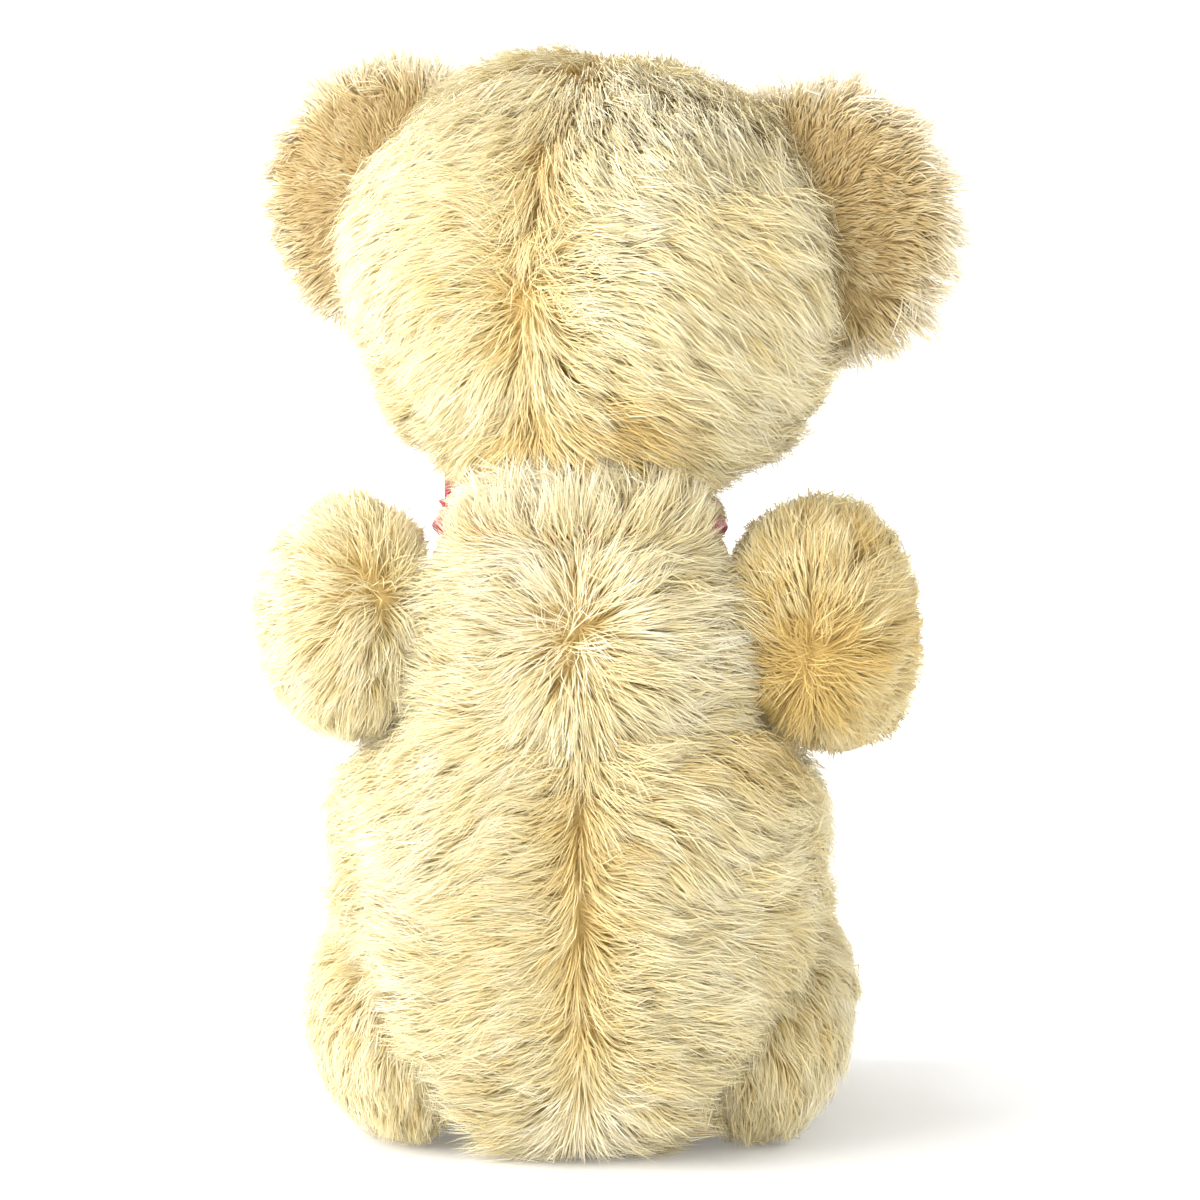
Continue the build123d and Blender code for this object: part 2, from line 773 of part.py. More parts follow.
# Ears: two cupped panels sewn along the rim, whose base follows the skull
ear_seat = head_form(-body_gap)
ear_back_radius = ear_cup_radius + ear_panel_thickness
ear_front_radius = ear_cup_radius - ear_panel_thickness
ear_panels = {
    "back": (ear_back_radius, ear_cup_radius),
    "front": (ear_cup_radius - thread_gap, ear_front_radius),
}
for name, side in sides.items():
    ear_middle = skull_plane.from_local_coords((side * ear_out, ear_up, ear_forward))
    rim_plane = Plane(origin=ear_middle, x_dir=skull_plane.x_dir, z_dir=skull_plane.z_dir)
    for panel_name, (outer_radius, inner_radius) in ear_panels.items():
        with BuildPart() as panel:
            with Locations(rim_plane.offset(ear_cup_radius)):
                Sphere(outer_radius)
                Sphere(inner_radius, mode=Mode.SUBTRACT)
            disc = cylinder_along(rim_plane, ear_radius, -ear_cup_radius, ear_cup_radius)
            add(disc, mode=Mode.INTERSECT)
            add(ear_seat, mode=Mode.SUBTRACT)
        finish(placed(panel.part, head_plane), f"{name}_ear_{panel_name}")

# Nose and mouth: embroidery that follows the front of the muzzle
nose_top = nose_up - muzzle_drop
nose_foot = nose_top - nose_height
with BuildPart() as nose:
    with BuildSketch(skull_plane.offset(muzzle_root_reach)):
        with BuildLine():
            Polyline(
                (-nose_half_width, nose_top),
                (nose_half_width, nose_top),
                (0, nose_foot),
                close=True,
            )
        make_face()
        fillet(vertices(), nose_corner_radius)
    extrude(amount=reach_past_part)
    add(head_form(-nose_thickness), mode=Mode.INTERSECT)
    add(head_form(-thread_gap), mode=Mode.SUBTRACT)
finish(placed(nose.part, head_plane), "nose_stitching")

mouth_foot = nose_foot - mouth_length
with BuildPart() as mouth:
    with BuildSketch(skull_plane.offset(muzzle_root_reach)):
        with Locations((0, mouth_foot)):
            Rectangle(thread_width, mouth_length, align=(Align.CENTER, Align.MIN))
        for side in sides.values():
            with Locations((side * smile_radius, mouth_foot)):
                Circle(smile_radius + thread_width / 2)
                Circle(smile_radius - thread_width / 2, mode=Mode.SUBTRACT)
        with Locations((0, mouth_foot)):
            above = (Align.CENTER, Align.MIN)
            Rectangle(5 * smile_radius, 2 * smile_radius, align=above, mode=Mode.SUBTRACT)
        with Locations((0, mouth_foot)):
            Rectangle(thread_width, mouth_length, align=(Align.CENTER, Align.MIN))
    extrude(amount=reach_past_part)
    add(head_form(-thread_height), mode=Mode.INTERSECT)
    add(head_form(-thread_gap), mode=Mode.SUBTRACT)
finish(placed(mouth.part, head_plane), "mouth_stitching")

# ---------------------------------------------------------------------------------------------
# Neck ribbon: a gathered band that lies on the torso's shoulders, tied in a bow in front

with BuildPart() as ribbon:
    with BuildSketch(Plane.XY.offset(ribbon_bottom)):
        Ellipse(ribbon_half_width, ribbon_half_depth)
        Ellipse(
            ribbon_half_width - ribbon_band_thickness,
            ribbon_half_depth - ribbon_band_thickness,
            mode=Mode.SUBTRACT,
        )
    extrude(amount=ribbon_height)
    fillet(edges(), ribbon_band_thickness / 4)
    bow_height = ribbon_bottom + ribbon_height - bow_loop_height / 2
    bow_front = Plane(origin=(0, -ribbon_half_depth, bow_height), x_dir=(1, 0, 0), z_dir=(0, -1, 0))
    for side in sides.values():
        with BuildSketch(bow_front.offset(-bow_loop_depth / 2)):
            with BuildLine():
                Spline(
                    (0, 0),
                    (side * bow_loop_shoulder, bow_loop_height / 2),
                    (side * bow_loop_length, 0),
                    (side * bow_loop_shoulder, -bow_loop_height / 2),
                    (0, 0),
                )
            make_face()
        extrude(amount=bow_loop_depth)
        tail_plane = turned(bow_front.offset(bow_knot_depth / 4), (0, 0, side * bow_tail_spread))
        with BuildSketch(tail_plane):
            Rectangle(bow_tail_width, bow_tail_length, align=(Align.CENTER, Align.MAX))
        extrude(amount=bow_tail_thickness)
    with BuildSketch(bow_front.offset(-bow_knot_depth / 2)):
        RectangleRounded(bow_knot_width, bow_knot_height, bow_knot_width / 4)
    extrude(amount=bow_knot_depth)
    add(torso_form(-body_gap, -body_gap), mode=Mode.SUBTRACT)
finish(ribbon, "neck_ribbon")
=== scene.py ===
"""A disc-jointed mohair teddy bear, seated and seen from behind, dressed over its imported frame."""

import logging
import math
from dataclasses import dataclass, field, replace
from enum import Enum
from typing import Callable, Optional

import bpy
import numpy as np
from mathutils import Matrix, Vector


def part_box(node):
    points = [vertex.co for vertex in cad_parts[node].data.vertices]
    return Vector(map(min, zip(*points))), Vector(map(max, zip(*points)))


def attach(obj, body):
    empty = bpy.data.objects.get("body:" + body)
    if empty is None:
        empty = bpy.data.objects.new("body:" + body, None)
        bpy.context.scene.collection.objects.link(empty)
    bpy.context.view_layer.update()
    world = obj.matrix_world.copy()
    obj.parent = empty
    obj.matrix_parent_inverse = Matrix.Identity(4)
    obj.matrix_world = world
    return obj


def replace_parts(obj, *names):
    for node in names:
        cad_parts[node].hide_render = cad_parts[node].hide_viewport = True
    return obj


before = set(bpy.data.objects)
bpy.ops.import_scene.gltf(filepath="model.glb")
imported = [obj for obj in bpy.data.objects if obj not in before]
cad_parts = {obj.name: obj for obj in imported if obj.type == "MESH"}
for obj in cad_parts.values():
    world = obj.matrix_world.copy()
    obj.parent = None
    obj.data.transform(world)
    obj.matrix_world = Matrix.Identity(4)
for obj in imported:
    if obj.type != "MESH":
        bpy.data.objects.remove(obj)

log = logging.getLogger("bear")
Array = np.ndarray
Pair = tuple[float, float]
Triple = tuple[float, float, float]
Four = tuple[float, float, float, float]
Edge = Callable[[Array], Array]  # an angle round a form for each share of the way along it
Flow = Callable[[Array], "Growth"]  # how pile grows at places in the bear's frame

MM = 0.001
UV_NAME = "OFBake"
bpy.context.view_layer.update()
FULL_TURN, HALF_TURN, QUARTER_TURN = 2 * math.pi, math.pi, math.pi / 2

# sizes in millimetres
COVER_DEPTH = 3.4  # from the pile's tips down to the woven backing
BACKING = 0.7  # thickness of the woven backing
PRESSED_RISE = 2.2  # how much nearer to the pile's tips the backing lies beside a joint
FLOOR_GAP = 0.3  # no fibre hangs lower
SEAM_HALF = 2.2  # distance from a seam at which its pile has turned aside
RIBBON_GAUGE = 0.3  # thickness of the satin
CLAW_RADIUS = 0.3
WELD_STEPS = 2000  # parts of a millimetre; points that lie in the same one are welded


class Side(Enum):
    """The bear's own left and right; the value is the sign of X."""

    LEFT = 1
    RIGHT = -1

    @property
    def word(self) -> str:
        """The side's name as it stands in piece names."""
        return self.name.lower()


# ---------------------------------------------------------------------------------------------
# Small vector helpers


def unit(vectors: Array) -> Array:
    """Vectors of length one, row by row."""
    return vectors / np.maximum(np.linalg.norm(vectors, axis=-1, keepdims=True), 1e-12)


def smooth(value: Array, low: float, high: float) -> Array:
    """Zero below low, one above high, an S curve between."""
    x = np.clip((value - low) / (high - low), 0, 1)
    return x * x * (3 - 2 * x)


def bell(distance: Array, width: float) -> Array:
    """One at no distance, falling with its square; about a third at one width."""
    return np.exp(-((distance / width) ** 2))


def fan_out(off: Array, soft: float) -> Array:
    """Directions straight out from a middle, shorter within a soft distance of it."""
    return off / (np.linalg.norm(off, axis=1, keepdims=True) + soft)


def rounded(value: Array, limit: "Array | float", softness: float, sign: int) -> Array:
    """The lesser (sign -1) or the greater (sign 1) of two, with a rounded corner between."""
    edge = value - limit
    return 0.5 * (value + limit + sign * np.sqrt(edge * edge + softness))


def lattice(rows: tuple[float, float, int], columns: tuple[float, float, int]) -> tuple[Array, Array]:
    """Two grids of even steps, each from (first, last, count): down the rows, along the columns."""
    down, along = np.meshgrid(np.linspace(*rows), np.linspace(*columns), indexing="ij")
    return down, along


def corners(grid: Array) -> tuple[Array, Array, Array, Array]:
    """The four corners of every cell of a grid, in order round the cell."""
    return grid[:-1, :-1], grid[1:, :-1], grid[1:, 1:], grid[:-1, 1:]


def cells(index: Array) -> Array:
    """The two triangles of every cell of a grid of point numbers."""
    a, b, c, d = corners(index)
    return np.stack([a, b, c, a, c, d], -1).reshape(-1, 3)


def ripple(points: Array, scale: float, seed: int) -> Array:
    """Slow noise between about -1 and 1: five sine waves in random directions, added.

    Args:
        points: Places in millimetres, one per row.
        scale: The waves' usual length in millimetres.
        seed: Picks the waves.

    Returns:
        One number per row.
    """
    rng = np.random.default_rng(seed)
    count, peak = 5, 2.6
    waves = unit(rng.normal(size=(count, 3))) * rng.uniform(0.7, 1.6, (count, 1)) * 2 * math.pi / scale
    return np.sin(points @ waves.T + rng.uniform(0, FULL_TURN, count)).sum(-1) / peak


def turn_about(axis: str, degrees: float) -> Array:
    """The 3 x 3 matrix of a turn about X, Y or Z."""
    c, s = math.cos(math.radians(degrees)), math.sin(math.radians(degrees))
    rows = {
        "X": ((1, 0, 0), (0, c, -s), (0, s, c)),
        "Y": ((c, 0, s), (0, 1, 0), (-s, 0, c)),
        "Z": ((c, -s, 0), (s, c, 0), (0, 0, 1)),
    }
    return np.array(rows[axis], float)


@dataclass(frozen=True)
class Place:
    """Where a form's own frame lies on the bear, in millimetres."""

    turn: Array
    origin: Array
    flip: int = 1

    def out(self, points: Array) -> Array:
        """From the form's own frame to the bear's."""
        return (points * (self.flip, 1, 1)) @ self.turn.T + self.origin

    def into(self, points: Array) -> Array:
        """From the bear's frame to the form's own."""
        return ((points - self.origin) @ self.turn) * (self.flip, 1, 1)

    def aim(self, vectors: Array) -> Array:
        """Turns directions from the form's own frame to the bear's."""
        return (vectors * (self.flip, 1, 1)) @ self.turn.T


# ---------------------------------------------------------------------------------------------
# Surfaces


@dataclass(frozen=True)
class Pocket:
    """A flat that presses into a form: nothing inside its outline stands above its plane.

    The outline is a fan of tapering capsules that start at the origin. Sizes in millimetres.
    """

    place: Place
    depth: float
    radius: float
    reach: float = 0.0
    end_radius: float = 0.0
    pitches: Pair = (0.0, 0.0)
    slope: float = 2.2
    softness: float = 1.2  # square millimetres: the corner is round over about a millimetre

    def outside(self, local: Array) -> Array:
        """Signed distance from the outline in the plane; negative inside.

        The nearest capsule of the fan is the one at the point's own angle, kept between the
        two pitches; its radius runs evenly from the first circle's to the last one's.
        """
        y, z = -local[..., 1], -local[..., 2]
        if not self.reach:
            return np.hypot(y, z) - self.radius
        low, high = sorted(math.radians(p) for p in self.pitches)
        angle = np.clip(np.arctan2(z, y), low, high)
        along = y * np.cos(angle) + z * np.sin(angle)
        part = np.clip(along / self.reach, 0, 1)
        gap = np.hypot(y - part * self.reach * np.cos(angle), z - part * self.reach * np.sin(angle))
        return gap - (self.radius + (self.end_radius - self.radius) * part)

    def press(self, points: Array, deeper: float = 0.0) -> Array:
        """Pushes points down to the pocket's floor, with sloping walls.

        Args:
            points: Places in the bear's frame, in millimetres.
            deeper: How much further the floor lies for an inner layer.

        Returns:
            The pressed places.
        """
        local = self.place.into(points)
        wall = np.maximum(self.outside(local) - 0.4 * deeper, 0)
        limit = -self.depth - deeper + wall * self.slope
        local = local.copy()
        local[..., 0] = rounded(local[..., 0], limit, self.softness, -1)
        return self.place.out(local)


@dataclass
class Form:
    """A stuffed form: ovals along an axis, joined by smooth curves and closed by domes.

    Each station is (place along the axis, half width, half height, drift), in millimetres. The
    point at turn a is across * width * cos(a) + up * (drift + height * sin(a)), and a dome's
    ovals shrink with the cosine while they advance with the sine of its own angle.
    """

    stations: tuple[Four, ...]
    start_dome: float
    end_dome: float
    place: Place
    axes: tuple[int, int, int]  # which own axis is across, up and along; along may be negative
    middle: Triple = (0.0, 0.0, 0.0)
    pockets: tuple[Pocket, ...] = ()
    face: Optional[float] = None  # own X below which a limb is cut flat
    floor: Optional[float] = None  # Z below which nothing hangs
    ceiling: Optional[float] = None
    pressed: Optional[Callable[[Array], Array]] = None  # one where a joint presses the plush thin
    face_softness: float = 0.8

    def profile(self, depth: float) -> Array:
        """Rows of (distance, place, half width, half height, drift) at a depth below the pile.

        Between stations each size follows a cubic whose slopes are the mean of its two
        neighbours' slopes, and level where a dome begins.
        """
        table = np.array(self.stations, float)
        place = table[:, 0]
        secants = np.diff(table[:, 1:], axis=0) / np.diff(place)[:, None]
        slopes = np.vstack([secants[:1], (secants[:-1] + secants[1:]) / 2, secants[-1:]])
        if self.start_dome:
            slopes[0] = 0
        if self.end_dome:
            slopes[-1] = 0
        body_steps, dome_steps, flat_steps = 160, 40, 24
        at = np.linspace(place[0], place[-1], body_steps)
        part = np.clip(np.searchsorted(place, at, side="right") - 1, 0, len(place) - 2)
        width = np.diff(place)[part][:, None]
        x = ((at - place[part])[:, None]) / width
        low, high = table[part, 1:], table[part + 1, 1:]
        m0, m1 = slopes[part] * width, slopes[part + 1] * width
        body = (
            (2 * x**3 - 3 * x**2 + 1) * low + (x**3 - 2 * x**2 + x) * m0
            + (3 * x**2 - 2 * x**3) * high + (x**3 - x**2) * m1
        )
        rows = [np.column_stack([at, body[:, 0] - depth, body[:, 1] - depth, body[:, 2]])]
        angle = np.linspace(0, QUARTER_TURN, dome_steps)[1:]
        for reach, row, sign in ((self.start_dome, rows[0][0], -1), (self.end_dome, rows[0][-1], 1)):
            if reach:
                length = reach - depth
                cap = np.column_stack([
                    row[0] + sign * length * np.sin(angle),
                    row[1] * np.cos(angle), row[2] * np.cos(angle), np.full(angle.shape, row[3]),
                ])
            else:
                shrink = np.linspace(1, 0, flat_steps)[1:]
                end = row[0] + (-sign * max(depth, 0)) * smooth(1 - shrink, 0, 0.12)
                cap = np.column_stack([end, row[1] * shrink, row[2] * shrink,
                                       np.full(shrink.shape, row[3])])
            rows = [cap[::-1], *rows] if sign < 0 else [*rows, cap]
        path = np.vstack(rows)
        size = (path[:, 1] + path[:, 2]) / 2
        steps = np.hypot(np.diff(path[:, 0]), np.diff(size))
        return np.column_stack([np.concatenate([[0], np.cumsum(steps)]), path])

    def share_at(self, station: float) -> float:
        """How far along the form, from 0 to 1, it first reaches a station."""
        path = self.profile(0)
        return float(np.interp(station, path[:, 1], path[:, 0]) / path[-1, 0])

    def sizes(self, share: Array, depth: float = 0.0) -> tuple[Array, Array, Array, Array]:
        """Place, half width, half height and drift at each share of the way along."""
        path = self.profile(depth)
        at = share * path[-1, 0]
        place, wide, high, drift = (np.interp(at, path[:, 0], path[:, k]) for k in (1, 2, 3, 4))
        return place, wide, high, drift

    def oval_at(self, station: Array, depth: float) -> tuple[Array, Array, Array]:
        """Half width, half height and drift at places along the axis."""
        path = self.profile(depth)
        path = path[np.argsort(path[:, 1])]
        wide, high, drift = (np.interp(station, path[:, 1], path[:, k]) for k in (2, 3, 4))
        return wide, high, drift

    def own(self, share: Array, angle: Array, depth: float = 0.0) -> Array:
        """Points of the smooth form in its own frame, before its flats."""
        place, wide, high, drift = self.sizes(share, depth)
        points = np.zeros((*np.broadcast(share, angle).shape, 3))
        across, up, along = self.axes
        points[..., across] = wide * np.cos(angle)
        points[..., up] = drift + high * np.sin(angle)
        points[..., abs(along)] = -place if along < 0 else place
        return points + np.array(self.middle)

    def skin(self, share: Array, angle: Array, depth: float, lumps: float = 0.0, seed: int = 1) -> Array:
        """Points of the form with its flats and hollows, in the bear's frame.

        Args:
            share: How far along the form, from 0 to 1.
            angle: The turn round it, in radians.
            depth: How far below the pile's tips, in millimetres.
            lumps: Height of the slow bumps that hand stuffing leaves.
            seed: Picks the bumps.

        Returns:
            Places in millimetres.
        """
        points = self.own(share, angle, depth)
        if self.pressed is not None:
            raised = self.own(share, angle, depth - PRESSED_RISE)
            points = points + (raised - points) * self.pressed(self.place.out(raised))[..., None]
        if lumps:
            away = unit(points - np.array(self.middle))
            points = points + away * (lumps * ripple(points, 26.0, seed))[..., None]
        below = depth - COVER_DEPTH
        if self.face is not None:
            points[..., 0] = rounded(points[..., 0], self.face + below, self.face_softness, 1)
        points = self.place.out(points)
        for pocket in self.pockets:
            points = pocket.press(points, below)
        if self.floor is not None:
            points[..., 2] = np.maximum(points[..., 2], self.floor + below)
        if self.ceiling is not None:
            points[..., 2] = np.minimum(points[..., 2], self.ceiling - below)
        return points


@dataclass
class Patch:
    """One cloth panel of a form: a band of shares along it and of angles round it."""

    form: Form
    start: float = 0.0
    end: float = 1.0
    low: Edge = lambda share: np.full(share.shape, 0.0)
    high: Edge = lambda share: np.full(share.shape, FULL_TURN)
    lumps: float = 0.8
    seed: int = 1

    def grid(self, rows: int, columns: int, depth: float) -> Array:
        """The panel's points at a depth, rows along it and columns across it."""
        u, v = lattice((0, 1, rows), (0, 1, columns))
        share = self.start + (self.end - self.start) * u
        angle = self.low(share) + (self.high(share) - self.low(share)) * v
        return self.form.skin(share, angle, depth, self.lumps, self.seed)


@dataclass
class EarPatch:
    """One panel of an ear: a cupped crescent from the skull's side out to the ear's rim.

    The base follows the skull's oval between the two places where the ear's circle crosses it,
    and each point lies part of the way from the base to the rim. The cup is a sphere.
    """

    place: Place
    side: int
    skull: Pair
    out: float
    up: float
    forward: float
    radius: float
    toward_back: int
    cup: float = 40.0
    half_gauge: float = 1.6
    trim: float = 0.3  # an ear's pile is thinner than the body's

    def ends(self) -> tuple[Array, Array]:
        """The angles on the skull's oval where the ear's rim crosses it, lower one first."""
        turn = np.linspace(-1.2, 1.5, 4000)
        x, y = self.skull[0] * np.cos(turn) - self.out, self.skull[1] * np.sin(turn) - self.up
        inside = np.hypot(x, y) < self.radius
        return turn[inside][0], turn[inside][-1]

    def grid(self, rows: int, columns: int, depth: float) -> Array:
        """The panel's points; rows run round the rim and columns from the base outwards."""
        depth = depth - COVER_DEPTH + self.trim
        u, v = lattice((0, 1, rows), (0, 1, columns))
        first, last = self.ends()
        turn = first + (last - first) * u
        base = np.stack([self.skull[0] * np.cos(turn), self.skull[1] * np.sin(turn)], -1)
        from_middle = base - (self.out, self.up)
        begin = np.arctan2(from_middle[0, 0, 1], from_middle[0, 0, 0])
        stop = np.arctan2(from_middle[-1, 0, 1], from_middle[-1, 0, 0])
        around = begin + (stop - begin + (FULL_TURN if stop < begin else 0)) * u
        reach = self.radius - 0.4 * max(depth, 0)
        rim = np.stack([self.out + reach * np.cos(around), self.up + reach * np.sin(around)], -1)
        flat = base + (rim - base) * v[..., None]
        off = np.hypot(flat[..., 0] - self.out, flat[..., 1] - self.up)
        closing = 1 - 0.75 * smooth(v, 0.86, 1.0)  # the two panels meet at the rim
        cup = self.cup + self.toward_back * (self.half_gauge - depth) * closing
        behind = self.forward + self.cup - np.sqrt(cup**2 - off**2)
        own = np.stack([self.side * flat[..., 0], flat[..., 1], behind], -1)
        return self.place.out(own)


# ---------------------------------------------------------------------------------------------
# Meshes


@dataclass
class Cloth:
    """Vertices, triangles and texture places, gathered before they become one mesh."""

    points: list[Array] = field(default_factory=list)
    faces: list[Array] = field(default_factory=list)
    places: list[Array] = field(default_factory=list)
    count: int = 0

    def add(self, points: Array, faces: Array, places: Array) -> None:
        """Adds a set of triangles with one texture place per corner."""
        self.points.append(points)
        self.faces.append(faces + self.count)
        self.places.append(places)
        self.count += len(points)

    def shell(self, outer: Array, inner: Array, span: Pair = (0.0, 0.05)) -> None:
        """A closed shell between two grids of equal size, welded where points coincide.

        Args:
            outer: The grid that faces outwards.
            inner: The grid below it.
            span: The band of the texture's height that the shell takes.
        """
        rows, columns = outer.shape[:2]
        low = rows * columns
        index = np.arange(low).reshape(rows, columns)
        top = cells(index)
        under = top[:, ::-1] + low
        edge = np.concatenate([index[:-1, 0], index[-1, :-1], index[:0:-1, -1], index[0, :0:-1]])
        onward = np.roll(edge, -1)
        rim = np.stack([edge, edge + low, onward, onward, edge + low, onward + low], -1).reshape(-1, 3)
        faces = np.concatenate([top, under, rim])
        points = np.concatenate([outer.reshape(-1, 3), inner.reshape(-1, 3)])
        u, v = lattice((0.02, 0.98, rows), (*span, columns))
        spot = np.stack([u, v], -1).reshape(-1, 2)
        self.weld(points, faces, np.concatenate([spot, spot]))

    def skin(self, grid: Array, span: Pair = (0.0, 1.0)) -> None:
        """A closed surface from a grid whose edges meet, welded along its seam and at its poles."""
        rows, columns = grid.shape[:2]
        faces = cells(np.arange(rows * columns).reshape(rows, columns))
        u, v = lattice((0, 1, rows), (*span, columns))
        self.weld(grid.reshape(-1, 3), faces, np.stack([u, v], -1).reshape(-1, 2))

    def weld(self, points: Array, faces: Array, spots: Array) -> None:
        """Merges points that coincide and drops triangles that lose their area."""
        places = spots[faces]
        key = np.round(points * WELD_STEPS).astype(np.int64)
        first, inverse = np.unique(key, axis=0, return_index=True, return_inverse=True)[1:]
        faces = inverse.reshape(-1)[faces]
        kept = (faces[:, 0] != faces[:, 1]) & (faces[:, 1] != faces[:, 2]) & (faces[:, 0] != faces[:, 2])
        points, faces, places = points[first], faces[kept], places[kept]
        a, b, c = (points[faces[:, k]] - points.mean(0) for k in range(3))
        if (a * np.cross(b, c)).sum() < 0:  # a negative volume: it is inside out
            faces, places = faces[:, ::-1], places[:, ::-1]
        self.add(points, faces, places)

    def make(self, name: str, finish: "Finish", body: str, slot: str) -> bpy.types.Object:
        """Makes the object, in metres, gives it its finish and lets it ride on its body.

        Args:
            name: The piece's name.
            finish: Its material's maker.
            body: The body that carries it.
            slot: The record's material slot; not used.

        Returns:
            The new object.
        """
        points, faces = np.concatenate(self.points) * MM, np.concatenate(self.faces)
        places = np.concatenate(self.places)
        mesh = bpy.data.meshes.new(name)
        mesh.vertices.add(len(points))
        mesh.vertices.foreach_set("co", points.astype(np.float32).ravel())
        mesh.loops.add(faces.size)
        mesh.loops.foreach_set("vertex_index", faces.astype(np.int32).ravel())
        mesh.polygons.add(len(faces))
        mesh.polygons.foreach_set("loop_start", np.arange(0, faces.size, 3, dtype=np.int32))
        mesh.polygons.foreach_set("use_smooth", np.full(len(faces), True))
        mesh.update(calc_edges=True)
        layer = mesh.uv_layers.new(name=UV_NAME)
        layer.uv.foreach_set("vector", places.reshape(-1, 2).astype(np.float32).ravel())
        mesh.validate()
        piece = placed(name, mesh)
        mesh.materials.append(finish.material())
        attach(piece, body)
        log.info("%s: %d triangles", name, len(faces))
        return piece


def placed(name: str, data: bpy.types.ID) -> bpy.types.Object:
    """A new object in the scene."""
    made = bpy.data.objects.new(name, data)
    bpy.context.scene.collection.objects.link(made)
    return made


def thread_along(path: Array, radius: float, sides: int = 7) -> Array:
    """The grid of a round thread with rounded ends that follows a path.

    At each point a ring turns about the path's direction: its two axes are the direction's
    cross products with a fixed vector; the rings shrink to a point at both ends.

    Args:
        path: The thread's middle line, in millimetres.
        radius: Its radius.
        sides: How many flats round it.

    Returns:
        A grid that closes on itself, rings along the rows.
    """
    ahead = unit(np.gradient(path, axis=0))
    helper = np.array([0.31, 0.52, 0.79])
    side = unit(np.cross(ahead, helper))
    up = np.cross(side, ahead)
    angle = np.linspace(0, -2 * math.pi, sides + 1)
    ring = np.cos(angle)[None, :, None] * side[:, None] + np.sin(angle)[None, :, None] * up[:, None]
    along = np.linspace(0, 1, len(path))
    swell = radius * np.sqrt(np.clip(1 - np.abs(2 * along - 1) ** 14, 0, 1))
    return path[:, None] + ring * swell[:, None, None]


def around_edge(grid: Array, thickness: float) -> tuple[Array, Array]:
    """Two grids half a thickness each side of one, along its own normals."""
    across = np.cross(np.gradient(grid, axis=0), np.gradient(grid, axis=1))
    normal = unit(across) * thickness / 2
    return grid + normal, grid - normal


# ---------------------------------------------------------------------------------------------
# Pile


@dataclass
class Growth:
    """What the pile does at each root: which way it lies, and its length, shade and thickness."""

    way: Array
    length: Array
    shade: Array
    share: Array


